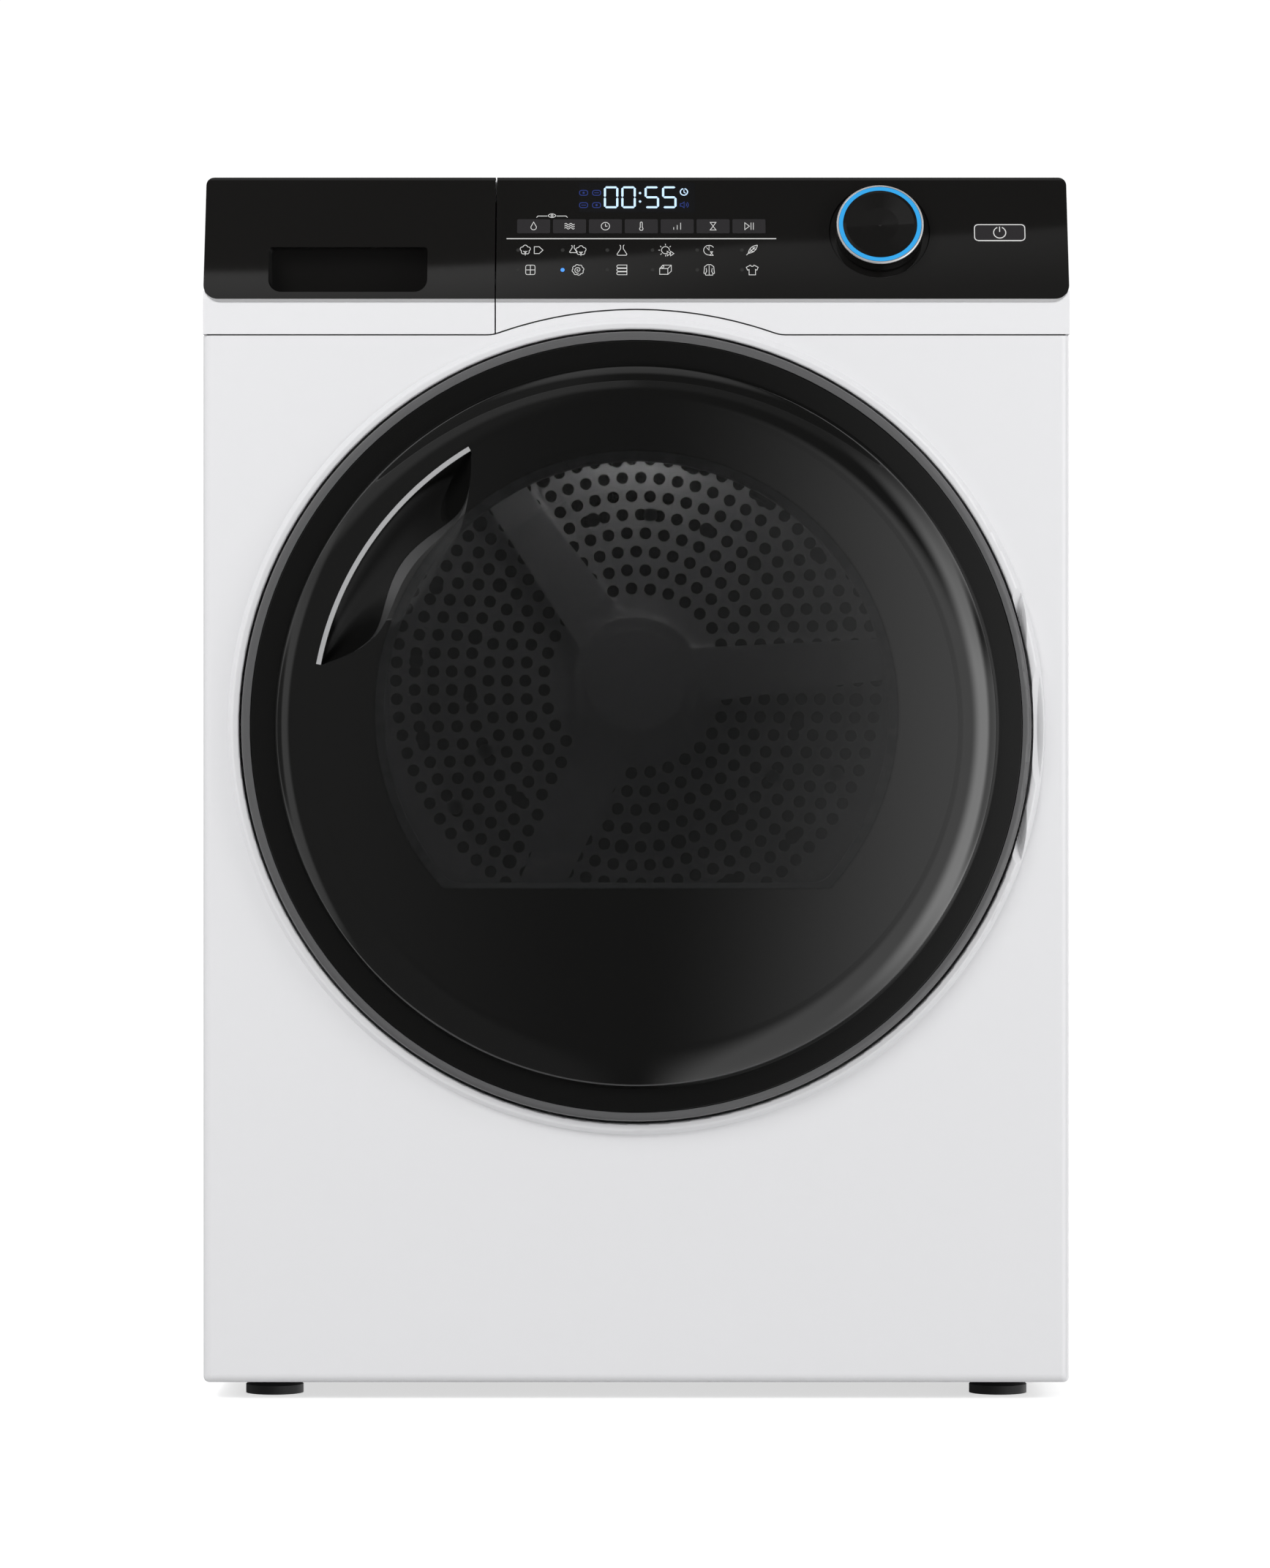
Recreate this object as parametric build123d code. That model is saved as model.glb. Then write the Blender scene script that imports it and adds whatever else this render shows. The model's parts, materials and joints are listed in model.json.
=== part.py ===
"""Heat-pump clothes dryer, in millimetres: +Z up, front to -Y, origin under the middle of its box."""

import math
import os

from build123d import *

# Overall sizes
case_width = 596.0
case_height = 845.0
overall_depth = 650.0
lens_proud = 35.0
cover_depth = 53.0
foot_gap = 12.0

# Sheet metal, mouldings and clearances
sheet = 1.2
wall = 2.5
seam = 1.0
run_gap = 0.3
bearing_gap = 0.05
edge_radius = 6.0
bend_radius = 2.5

# Door, seen from the front as circles about the door centre
door_drop = 381.5
ring_radius = 271.0
ring_gap = 2.0
ring_proud = 14.0
ring_width = 6.0
bezel_width = 8.0
bezel_proud = 6.0
recess_depth = 26.0
mouth_radius = 208.0
arch_gap = 5.5

# Drum, turning about an axis along Y
drum_lift = 40.5
drum_radius = 285.0
drum_inset = 50.0
drum_back_gap = 57.0

# Control fascia above the front panel
fascia_height = 111.5
strip_height = 22.0
trim_height = 2.2
lean_deg = 21.0
fascia_depth = 54.0
drawer_width = 201.0
worktop_thick = 16.0

# Places worked out from the sizes above
half_width = case_width / 2
front_y = -overall_depth / 2 + lens_proud
rear_y = overall_depth / 2 - cover_depth
cover_rear = overall_depth / 2
ring_front = front_y - ring_proud
floor_y = front_y + recess_depth
bezel_inner = ring_radius + ring_gap
bezel_outer = bezel_inner + bezel_width
arch_radius = bezel_outer + arch_gap
door_z = case_height - door_drop
drum_z = door_z + drum_lift
drum_front = front_y + drum_inset
drum_rear = rear_y - drum_back_gap
strip_low = case_height - fascia_height
fascia_back = front_y + fascia_depth
drawer_edge = drawer_width - half_width
trim_low = strip_low + strip_height
black_low = trim_low + trim_height
lean = math.radians(lean_deg)
fascia_top_y = front_y + (case_height - black_low) * math.tan(lean)
worktop_low = case_height - worktop_thick
front_top = strip_low - seam


def block(x0, x1, y0, y1, z0, z1):
    """Box between two corners."""
    return Pos((x0 + x1) / 2, (y0 + y1) / 2, (z0 + z1) / 2) * Box(x1 - x0, y1 - y0, z1 - z0)


def rod(radius, y0, y1, x=0.0, z=0.0):
    """Round bar along Y."""
    return Pos(x, (y0 + y1) / 2, z) * Rot(90, 0, 0) * Cylinder(radius, y1 - y0)


def post(radius, z0, z1, x=0.0, y=0.0):
    """Round bar along Z."""
    return Pos(x, y, (z0 + z1) / 2) * Cylinder(radius, z1 - z0)


def turned(points, x=0.0, z=0.0, rounds=()):
    """Ring turned about Y from a section of (radius, y) points; rounds lists (point index, radius)."""
    section = make_face(Polyline(*points, close=True))
    corners = [(points[index], radius) for index, radius in rounds]
    for (r, y), radius in corners:
        vertex = section.vertices().sort_by_distance((r, y, 0))[0]
        section = fillet(vertex, radius)
    return Pos(x, 0, z) * revolve(section, axis=Axis.Y)


def along_x(points, x0, x1, rounds=()):
    """Bar along X from a section of (y, z) points; rounds lists (point index, radius)."""
    section = make_face(Polyline(*points, close=True))
    for index, radius in rounds:
        vertex = section.vertices().sort_by_distance((*points[index], 0))[0]
        section = fillet(vertex, radius)
    return Pos(x0, 0, 0) * extrude(Plane.YZ * section, amount=x1 - x0)


def along_y(sketch, y0, y1):
    """Bar along Y from a front-view sketch drawn as (x, z)."""
    return Pos(0, y1, 0) * extrude(Plane.XZ * sketch, amount=y1 - y0)


def along_z(sketch, z0, z1):
    """Bar along Z from a plan sketch drawn as (x, y)."""
    return Pos(0, 0, z0) * extrude(sketch, amount=z1 - z0)


def rect(x0, x1, z0, z1):
    """Rectangle between two corners of a sketch."""
    return Pos((x0 + x1) / 2, (z0 + z1) / 2) * Rectangle(x1 - x0, z1 - z0)


def disc(radius, x=0.0, z=0.0):
    """Circle in a sketch."""
    return Pos(x, z) * Circle(radius)


def corner(sketch, x, z, radius):
    """Sketch with its corner nearest to a point rounded."""
    return fillet(sketch.vertices().sort_by_distance((x, z, 0))[0], radius)


def single(shape):
    """One plain solid or compound from the result of an operation."""
    solids = shape.solids()
    return solids[0] if len(solids) == 1 else Compound(children=list(solids))


# Casing
side_flange = 18.0
front_return = 14.0
foot_radius = 20.0
foot_pad = 9.0
stud_radius = 4.0
stud_length = 34.0
foot_inset_x = 46.0
foot_inset_y = 40.0
tray_wall = 3.0
tray_height = 52.0
boss_wall = 6.0
tray_gap = 2.0
hub_radius = 55.0
hub_depth = 12.0
spoke_width = 46.0
air_ring = 264.0
seal_ring = 284.0
collar_depth = 32.0
bearing_radius = 22.0
shaft_radius = 12.5
front_low_corner = 4.0
arch_blend = 22.0

panel_back = front_y + front_return
tray_front = panel_back + tray_gap
tray_rear = rear_y - sheet - tray_gap
tray_half = half_width - side_flange - tray_gap
tray_floor = foot_gap + sheet + tray_gap
foot_spots = [
    (side * (half_width - foot_inset_x), y)
    for y in (tray_front + foot_inset_y, tray_rear - foot_inset_y)
    for side in (-1, 1)
]


def side_panel(side):
    """Side sheet with flanges turned in at the front, back and foot."""
    y0 = panel_back + seam
    y1 = rear_y - sheet - seam
    inner = half_width - side_flange
    plan = rect(inner, half_width, y0, y1)
    plan = corner(plan, half_width, y0, bend_radius)
    plan = corner(plan, half_width, y1, bend_radius)
    hollow = rect(inner - seam, half_width - sheet, y0 + sheet, y1 - sheet)
    panel = along_z(plan, foot_gap, worktop_low) - along_z(hollow, foot_gap + sheet, worktop_low)
    for edge, low in ((bar_front - seam / 2, front_top), (fascia_back + seam, guide_low + seam)):
        panel -= block(inner - seam, half_width + seam, front_y, edge, low, case_height)
    return panel if side > 0 else mirror(panel, about=Plane.YZ)


def base_tray():
    """Moulded base with an outer rim, cross walls for the air channel and bosses for the feet."""
    tray = block(-tray_half, tray_half, tray_front, tray_rear, tray_floor, tray_floor + tray_height)
    tray = fillet(tray.edges().filter_by(Axis.Z), foot_radius)
    hollow = offset(tray, -tray_wall)
    lift = Pos(0, 0, 2 * tray_wall)
    tray = tray - hollow - lift * hollow
    for x in (channel_left, channel_right):
        tray += block(
            x - tray_wall / 2, x + tray_wall / 2, channel_front, channel_rear, tray_floor,
            channel_top,
        )
    for x, y in foot_spots:
        tray += post(stud_radius + boss_wall, tray_floor, tray_floor + tray_height, x, y)
    for x, y in foot_spots:
        tray -= post(stud_radius + run_gap, foot_gap, foot_gap + stud_length, x, y)
    return tray + idler_post()


def front_outline():
    """Front view of the front panel: a tall sheet whose top rises in an arch round the door."""
    sketch = rect(-half_width, half_width, foot_gap, front_top)
    for side in (-1, 1):
        sketch = corner(sketch, side * half_width, foot_gap, front_low_corner)
    sketch += disc(arch_radius, 0, door_z)
    arch_half = math.sqrt(arch_radius**2 - (front_top - door_z) ** 2)
    for side in (-1, 1):
        sketch = corner(sketch, side * arch_half, front_top, arch_blend)
    return sketch


def round_sides(body, x, y, radius):
    """Round the two upright front edges of the pressed sheet."""
    upright = body.edges().filter_by(Axis.Z)
    picked = [e for e in upright if abs(abs(e.center().X) - x) < 0.01 and abs(e.center().Y - y) < 0.01]
    return fillet(picked, radius)


def door_relief():
    """The door's front, grown by a gap, at steps over the last part of its swing about the hinge."""
    front, foot = ring_front - relief_gap, lens_foot + relief_gap
    back, rim = ring_front + ring_depth + relief_gap, ring_radius + relief_gap
    crown = lens_front + dome_rise - relief_gap
    form = turned(
        [
            (0, back),
            (rim, back),
            (rim, front),
            (foot, front),
            (foot, front + shoulder_bulge * (crown - front)),
            (lens_foot - (1 - shoulder_bulge) * shoulder, crown),
            (0, crown),
        ],
        z=door_z,
    ) - hinge_notch(-relief_gap)
    turns = [door_open - relief_step * k for k in range(relief_count)]
    axis = Pos(hinge_x, hinge_y, 0)
    return [axis * Rot(0, 0, turn) * Pos(-hinge_x, -hinge_y, 0) * form for turn in turns]


def front_panel():
    """Pressed front sheet with rounded sides, a raised bezel and a recess that takes the door."""
    outer = along_y(front_outline(), front_y, panel_back)
    outer = round_sides(outer, half_width, front_y, edge_radius)
    inner = along_y(offset(front_outline(), -sheet), front_y + sheet, panel_back + seam)
    inner = round_sides(inner, half_width - sheet, front_y + sheet, edge_radius - sheet)
    panel = outer - inner - rod(bezel_outer, front_y - seam, panel_back, 0, door_z)
    tip = front_y - bezel_proud
    ring = turned(
        [
            (bezel_outer + sheet, front_y),
            (bezel_outer, front_y),
            (bezel_outer - bezel_proud / 2, tip),
            (bezel_inner, tip),
            (bezel_inner, floor_y),
            (mouth_radius, floor_y),
            (mouth_radius, floor_y + sheet),
            (bezel_inner + sheet, floor_y + sheet),
            (bezel_inner + sheet, front_y + sheet),
            (bezel_outer + sheet, front_y + sheet),
        ],
        z=door_z,
        rounds=((2, 2.0), (3, 1.0)),
    )
    slot = block(
        latch_x - latch_slot / 2, latch_x + latch_slot / 2, floor_y - seam, floor_y + 2 * seam + sheet,
        door_z - latch_height / 2 - seam, door_z + latch_height / 2 + seam,
    )
    return panel + ring - slot - door_relief()


def rear_panel():
    """Back sheet with the drum's air opening, a sealing collar and three spokes that carry the bearing."""
    side = half_width - seam / 2
    inner_y = rear_y - sheet
    panel = block(-side, side, inner_y, rear_y, foot_gap, worktop_low)
    panel -= rod(air_ring, inner_y - seam, rear_y + seam, 0, drum_z)
    collar_y = rear_y - collar_depth
    panel += turned(
        [
            (air_ring, rear_y),
            (air_ring, collar_y),
            (seal_ring, collar_y),
            (seal_ring, collar_y + sheet),
            (air_ring + sheet, collar_y + sheet),
            (air_ring + sheet, rear_y),
        ],
        z=drum_z,
    )
    spoke = block(-spoke_width / 2, spoke_width / 2, rear_y - hub_depth, rear_y, 0, air_ring + sheet / 2)
    channel = spoke_width / 2 - sheet
    spoke -= block(-channel, channel, rear_y - hub_depth + sheet, rear_y + seam, 0, air_ring + seam)
    for turn in (0, 120, 240):
        panel += Pos(0, 0, drum_z) * Rot(0, turn, 0) * spoke
    panel += rod(hub_radius, rear_y - hub_depth, rear_y, 0, drum_z)
    panel -= rod(bearing_radius, rear_y - hub_depth - seam, rear_y + seam, 0, drum_z)
    panel -= along_y(duct_mouth(), inner_y - seam, rear_y + seam)
    panel -= rod(gland_radius, inner_y - seam, rear_y + seam, gland_x, gland_z)
    panel -= rod(spigot_radius, inner_y - seam, rear_y + seam, spigot_x, spigot_z)
    return panel


def duct_mouth():
    """Opening of the rear panel behind the blower."""
    sketch = rect(motor_x - mouth_half, motor_x + mouth_half, mouth_low, mouth_low + mouth_rise)
    return fillet(sketch.vertices(), mouth_corner)


def cover_outline():
    """Back view of the duct cover: a disc over the drum with a leg down to the blower."""
    leg = rect(
        motor_x - mouth_half - cover_flange, motor_x + mouth_half + cover_flange,
        mouth_low - cover_flange, drum_z,
    )
    leg = corner(leg, motor_x - mouth_half - cover_flange, mouth_low - cover_flange, mouth_corner)
    leg = corner(leg, motor_x + mouth_half + cover_flange, mouth_low - cover_flange, mouth_corner)
    sketch = disc(air_ring + cover_flange, 0, drum_z) + leg
    for x in (motor_x - mouth_half - cover_flange, motor_x + mouth_half + cover_flange):
        z = drum_z - math.sqrt((air_ring + cover_flange) ** 2 - x**2)
        sketch = corner(sketch, x, z, 2 * mouth_corner)
    return sketch


def rear_duct_cover():
    """Dished cover screwed on the back that leads warm air from the blower to the drum."""
    outline = cover_outline()
    dome = along_y(offset(outline, -cover_flange), rear_y, cover_rear)
    dome = fillet(dome.faces().sort_by(Axis.Y)[-1].edges(), cover_round)
    hollow = along_y(offset(outline, -cover_flange - wall), rear_y - seam, cover_rear - wall)
    hollow = fillet(hollow.faces().sort_by(Axis.Y)[-1].edges(), cover_round - wall)
    return along_y(outline, rear_y, rear_y + wall) + dome - hollow


def worktop():
    """Top board, flush with the top of the fascia."""
    board = block(-half_width, half_width, fascia_back + seam, rear_y, worktop_low, case_height)
    return fillet(board.edges().filter_by(Axis.Y, reverse=True).group_by(Axis.Z)[-1], bend_radius)


def crossbar():
    """Steel channel across the front between the side panels, open to the back."""
    side = half_width - sheet - run_gap
    low = drum_z + collar_radius + wall + run_gap
    bar = block(-side, side, bar_front, bar_rear, low, guide_low)
    return bar - block(
        -side - seam, side + seam, bar_front + sheet, bar_rear + seam, low + sheet,
        guide_low - sheet,
    )


def foot(x, y):
    """Levelling foot: a bevelled pad on a stud."""
    pad = chamfer(post(foot_radius, 0, foot_pad, x, y).edges().group_by(Axis.Z)[-1], foot_pad / 3)
    return pad + post(stud_radius, foot_pad / 2, foot_pad + stud_length, x, y)


# Fascia, drawer front and knob
black_corner = 10.0
top_corner = 6.0
top_round = 5.0
trim_proud = 0.6
trim_depth = 5.0
trim_rise = 4.0
cheek_rise = 6.0
pocket_left = 44.5 - half_width
pocket_width = 109.5
pocket_low = black_low + 5.0
pocket_height = 32.0
pocket_depth = 28.0
pocket_corner = 9.0
key_count = 7
key_width = 22.9
key_pitch = 24.8
key_height = 10.8
key_left = drawer_edge + 14.6
key_rise = 55.4
key_proud = 0.4
power_x = half_width - 47.0
power_rise = 50.5
power_width = 35.5
power_height = 12.8
knob_x = half_width - 130.0
knob_rise = 51.4
knob_radius = 30.0
knob_height = 12.0
knob_dish = 35.5
dish_depth = 1.2
encoder_radius = 3.0
board_depth = 14.0
board_thick = 1.6

face_plane = Plane(
    origin=(0, front_y, black_low), x_dir=(1, 0, 0), z_dir=(0, -math.cos(lean), math.sin(lean))
)


def on_face(shape):
    """Shape drawn with x across, y up the slope and z out of the leaning face."""
    return face_plane.location * shape


def black_outline(x0, x1, outer):
    """Front view of a black panel from x0 to x1, rounded at its outer end."""
    sketch = rect(x0, x1, black_low, case_height)
    sketch = corner(sketch, outer, black_low, black_corner)
    return corner(sketch, outer, case_height, top_corner)


def trim_outline(x0, x1, outer):
    """Front view of a black panel together with the bright line under it."""
    return corner(rect(x0, x1, trim_low, case_height), outer, trim_low, black_corner + trim_height)


def black_block(x0, x1):
    """Solid under the leaning black face."""
    points = [
        (front_y, black_low),
        (fascia_top_y, case_height),
        (fascia_back, case_height),
        (fascia_back, black_low),
    ]
    return along_x(points, x0, x1, rounds=((1, top_round),))


def black_shell(x0, x1, outer):
    """Hollow leaning panel, open at the back and below, clear of the crossbar behind it."""
    lean_wall = wall / math.cos(lean)
    slope = math.tan(lean)
    low = black_low - seam
    high = case_height - wall
    points = [
        (front_y + lean_wall - seam * slope, low),
        (front_y + lean_wall + (high - black_low) * slope, high),
        (fascia_back + seam, high),
        (fascia_back + seam, low),
    ]
    shell = black_block(x0, x1) - along_x(points, x0 + wall, x1 - wall)
    cut0 = x0 + wall if outer == x0 else x0 - seam
    cut1 = x1 - wall if outer == x1 else x1 + seam
    shell -= block(cut0, cut1, bar_front - seam, fascia_back + seam, low, worktop_low - seam)
    shell -= block(x0 - seam, x1 + seam, bar_front - seam, fascia_back + seam, low, guide_low + 2 * seam)
    return shell & along_y(black_outline(x0, x1, outer), front_y - seam, fascia_back + seam)


def leaning_slab(x0, x1, proud, depth, low):
    """Slab that stands up from low and leans back with the black face above it."""
    rise = black_corner + trim_height
    back = rise * math.tan(lean)
    points = [
        (front_y - proud, low),
        (front_y - proud, black_low),
        (front_y - proud + back, black_low + rise),
        (front_y + depth + back, black_low + rise),
        (front_y + depth, black_low),
        (front_y + depth, low),
    ]
    return along_x(points, x0, x1)


def bright_trim(x0, x1, outer):
    """Bright line that runs under the black panel and up round its outer corner."""
    line = trim_outline(x0, x1, outer) - black_outline(x0, x1, outer)
    line = line & rect(x0, x1, trim_low, black_low + trim_rise)
    slab = leaning_slab(x0, x1, trim_proud, trim_depth, trim_low)
    return slab & along_y(line, front_y - seam, bar_front)


def white_strip(x0, x1, outer):
    """White moulding below the trim, cut to the arch of the front panel."""
    top = black_low + cheek_rise
    region = rect(x0, x1, strip_low, top) - trim_outline(x0, x1, outer)
    region -= offset(front_outline(), seam)
    strip = leaning_slab(x0, x1, 0, front_return, strip_low)
    strip -= leaning_slab(x0 + wall, x1 - wall, -wall, front_return + seam, strip_low - seam)
    strip += block(x0, x1, front_y, panel_back, trim_low - wall, trim_low)
    inner = outer + wall if outer == x0 else outer - wall
    strip += block(min(outer, inner), max(outer, inner), panel_back, bar_front - seam, strip_low, top)
    return strip & along_y(region, front_y - seam, bar_front)


def drawer_front():
    """Black front of the water drawer with its moulded handle pocket."""
    x0, x1 = -half_width, drawer_edge - seam / 2
    pocket = rect(pocket_left, pocket_left + pocket_width, pocket_low, pocket_low + pocket_height)
    for x in (pocket_left, pocket_left + pocket_width):
        pocket = corner(pocket, x, pocket_low, pocket_corner)
        pocket = corner(pocket, x, pocket_low + pocket_height, wall)
    floor = front_y + pocket_depth
    boss = along_y(offset(pocket, wall), front_y - seam, floor + wall) & black_block(x0, x1)
    front = black_shell(x0, x1, x0) + boss
    return front - along_y(pocket, front_y - seam, floor)


def fascia_panel():
    """Black control panel with a shallow dish and a shaft hole for the knob."""
    panel = black_shell(drawer_edge + seam / 2, half_width, half_width)
    dish = Pos(knob_x, knob_rise, 0) * Cone(knob_dish - dish_depth, knob_dish, 2 * dish_depth)
    hole = Pos(knob_x, knob_rise, 0) * Cylinder(encoder_radius + seam, 4 * wall)
    return panel - on_face(dish) - on_face(hole)


def touch_keys():
    """Row of flat touch pads and the power pad, let into the black face by a hair."""
    pads = [
        (key_left + key_width / 2 + i * key_pitch, key_rise, key_width, key_height)
        for i in range(key_count)
    ]
    pads.append((power_x, power_rise, power_width, power_height))
    keys = []
    for x, rise, width, height in pads:
        pad = extrude(fillet(Rectangle(width, height).vertices(), seam), amount=key_proud)
        keys.append(on_face(Pos(x, rise, 0) * pad))
    return Compound(children=[single(key) for key in keys])


def control_board():
    """Circuit board behind the face on four posts, with the display block and the knob's encoder."""
    left, right, low, high = key_left, power_x, wall * 8, knob_rise + knob_radius
    top = -board_depth + board_thick
    middle = (left + right) / 2
    board = Pos(
        middle, (low + high) / 2, top - board_thick / 2,
    ) * Box(right - left, high - low, board_thick)
    for x in (left + knob_height, right - knob_height):
        for y in (low + wall * 2, high - wall * 2):
            board += Pos(x, y, (top - wall) / 2) * Cylinder(wall, -wall - top)
    display_width = 80.0
    display_height = 23.0
    board += Pos(0, high - display_height / 2, (top - wall) / 2 - seam / 2) * Box(
        display_width, display_height, -wall - top - seam
    )
    board += Pos(knob_x, knob_rise, top + wall) * Box(knob_height, knob_height, 2 * wall)
    board += Pos(knob_x, knob_rise, (top + knob_height * 0.6) / 2) * Cylinder(
        encoder_radius, knob_height * 0.6 - top
    )
    return on_face(board)


def knob_spun(points):
    """Ring turned about the knob's axis from (radius, height) points."""
    section = make_face(Polyline(*points, close=True))
    ring = Rot(90, 0, 0) * revolve(section, axis=Axis.Y)
    return on_face(Pos(knob_x, knob_rise, 0) * ring)


ring_in = knob_radius - 4.5
ring_out = knob_radius - 1.5
ring_seat = knob_height - 1.2


def knob_cap():
    """Round knob with a chamfered rim, a groove for the lit ring and a dished face."""
    bore = encoder_radius + bearing_gap
    return knob_spun(
        [
            (bore, run_gap),
            (knob_radius, run_gap),
            (knob_radius, knob_height - 1.5),
            (ring_out, knob_height),
            (ring_out, ring_seat),
            (ring_in, ring_seat),
            (ring_in, knob_height + 0.2),
            (ring_in - 2.0, knob_height + 0.6),
            (ring_in / 2, knob_height - 1.0),
            (0, knob_height - 1.4),
            (0, knob_height * 0.7),
            (bore, knob_height * 0.7),
        ]
    )


def knob_light_ring():
    """Clear ring that glows round the face of the knob."""
    slack = 0.1
    return knob_spun(
        [
            (ring_in + slack, ring_seat),
            (ring_out - slack, ring_seat),
            (ring_out - slack, knob_height - slack),
            (ring_in + slack, knob_height),
        ]
    )


# Door
lens_wall = 3.0
lens_rim = 16.0
shoulder = 28.0
shoulder_bulge = 0.55
dome_rise = 4.5
lens_middle = 60.0
lens_seat = 19.0
ring_depth = 20.0
strip_radius = 221.0
strip_width = 3.2
strip_thick = 4.0
strip_from = 121.0
strip_to = 169.0
scoop_reach = 50.0
scoop_end = 10.0
scoop_floor = 70.0
scoop_depth = 24.0
bowl_z = door_z + 9.5
bowl_radius = 174.0
bowl_flat = door_z - 107.5
bowl_corner = 16.0
bowl_depth = 115.0
bowl_end_radius = 153.0
bowl_end_z = door_z + 19.5
bowl_end_flat = door_z - 91.5
bowl_wall = 4.0
bowl_flange = 8.0
inner_plate = 3.0
inner_back = 27.0
collar_reach = 15.0
hinge_inset = 14.0
hinge_back = 8.0
door_open = 130.0
relief_gap = 0.5
relief_step = 10.0
relief_count = 8
pin_radius = 3.0
knuckle_radius = 5.0
leaf_half = 29.0
lug_height = 12.0
lug_radius = 4.0
leaf_reach = 50.0
leaf_thick = 4.0
notch_half = 48.0
notch_reach = 21.0
bracket_thick = 3.0
latch_x = -236.0
latch_slot = 20.0
latch_height = 22.0
hook_thick = 8.0
hook_reach = 26.0
gasket_width = 9.0

lens_outer = ring_radius - ring_width - run_gap
lens_foot = lens_outer - lens_rim
lens_front = -overall_depth / 2
seat_front = ring_front + lens_wall
seat_back = seat_front + wall
inner_back_y = ring_front + inner_back
inner_front_y = inner_back_y - inner_plate
bowl_front = inner_front_y - bowl_wall
hinge_x = ring_radius - hinge_inset
hinge_y = ring_front + hinge_back
notch_x = hinge_x - notch_reach
scoop_angle = math.radians((strip_from + strip_to) / 2)
scoop_half = math.radians((strip_to - strip_from) / 2)
strip_inner = strip_radius - strip_width / 2


def hinge_notch(clear):
    """Room behind the door's front skin for the fixed part of the hinge."""
    return block(
        notch_x - clear, ring_radius + seam, ring_front + wall + run_gap, floor_y,
        door_z - notch_half - clear, door_z + notch_half + clear,
    )


def door_frame():
    """Grey outer ring with a rounded rim, a deep side wall and a seat for the lens."""
    inner = ring_radius - wall
    ring = turned(
        [
            (ring_radius - ring_width, ring_front),
            (ring_radius, ring_front),
            (ring_radius, ring_front + ring_depth),
            (inner, ring_front + ring_depth),
            (inner, seat_back),
            (lens_outer - lens_seat, seat_back),
            (lens_outer - lens_seat, seat_front),
            (ring_radius - ring_width, seat_front),
        ],
        z=door_z,
        rounds=((1, wall + seam),),
    )
    return ring - hinge_notch(0)


def lens_curve(inset):
    """Front of the lens from its foot to its middle: a rounded shoulder, a dome and a flat centre."""
    foot = (lens_foot - inset, ring_front + inset)
    top = (lens_foot - shoulder, lens_front + dome_rise + inset)
    side = Bezier(
        foot,
        (foot[0], foot[1] + shoulder_bulge * (top[1] - foot[1])),
        (top[0] + shoulder_bulge * (foot[0] - top[0]), top[1]),
        top,
    )
    middle = (lens_middle, lens_front + inset)
    dome = Bezier(top, ((top[0] + lens_middle) / 2, lens_front + inset), middle)
    return side, dome, Line(middle, (0, lens_front + inset))


def lens_blank(back):
    """Solid under the lens front, down to a flat back."""
    rest = Polyline(
        (0, lens_front), (0, back), (lens_outer, back), (lens_outer, ring_front),
        (lens_foot, ring_front),
    )
    return Pos(0, 0, door_z) * revolve(make_face([*lens_curve(0), *rest.edges()]), axis=Axis.Y)


def lens_hollow():
    """Space behind the lens pane, one wall inside its front."""
    foot = lens_foot - lens_wall
    rest = Polyline(
        (0, lens_front + lens_wall), (0, floor_y), (foot, floor_y), (foot, ring_front + lens_wall),
    )
    return Pos(0, 0, door_z) * revolve(make_face([*lens_curve(lens_wall), *rest.edges()]), axis=Axis.Y)


def scoop_outline(grow):
    """Outline of the finger scoop between the handle strip and a second arc, grown by a wall."""
    chord = strip_inner * math.cos(scoop_half)
    half = strip_inner * math.sin(scoop_half)
    near = strip_inner - scoop_reach
    sag = chord - near
    radius = (half**2 + sag**2) / (2 * sag)
    away = near + radius
    arc = disc(radius + grow, away * math.cos(scoop_angle), away * math.sin(scoop_angle))
    sketch = disc(strip_inner + grow) & arc
    return Pos(0, door_z) * fillet(sketch.vertices(), scoop_end + grow)


def scoop(grow):
    """Space for the fingers: the outline cut down to a cylinder-shaped floor, grown by a wall."""
    axis_y = lens_front + dome_rise + scoop_depth - scoop_floor
    floor = Rot(0, 90, 0) * Cylinder(scoop_floor + grow, 2 * ring_radius)
    out = Pos(strip_radius, axis_y, 0) * Rot(0, 90, 0) * floor
    out = Pos(0, 0, door_z) * Rot(0, -math.degrees(scoop_angle), 0) * out
    return along_y(scoop_outline(grow), lens_front - scoop_depth, floor_y) & out


def handle_strip():
    """Bright strip along the outer edge of the finger scoop."""
    reach = 2 * ring_radius
    angles = [math.radians(a) for a in (strip_from, strip_to)]
    wedge = make_face(
        Polyline((0, 0), *[(reach * math.cos(a), reach * math.sin(a)) for a in angles], close=True)
    )
    band = (disc(strip_inner + strip_width) - disc(strip_inner)) & wedge
    face = lens_front + dome_rise - seam / 2
    return along_y(Pos(0, door_z) * band, face, face + strip_thick)


def door_lens():
    """Dark convex outer pane with the finger scoop moulded in."""
    pane = lens_blank(seat_front) - lens_hollow()
    cup = lens_blank(floor_y) & scoop(wall)
    return pane + cup - scoop(0) - handle_strip()


def bowl_outline(radius, centre_z, flat, grow=0.0):
    """Front view of the bowl: a circle with a flat foot and rounded corners."""
    sketch = disc(radius, 0, centre_z) & rect(-radius, radius, flat, centre_z + radius)
    return offset(
        fillet(sketch.vertices(), bowl_corner), grow,
    ) if grow else fillet(sketch.vertices(), bowl_corner)


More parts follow.
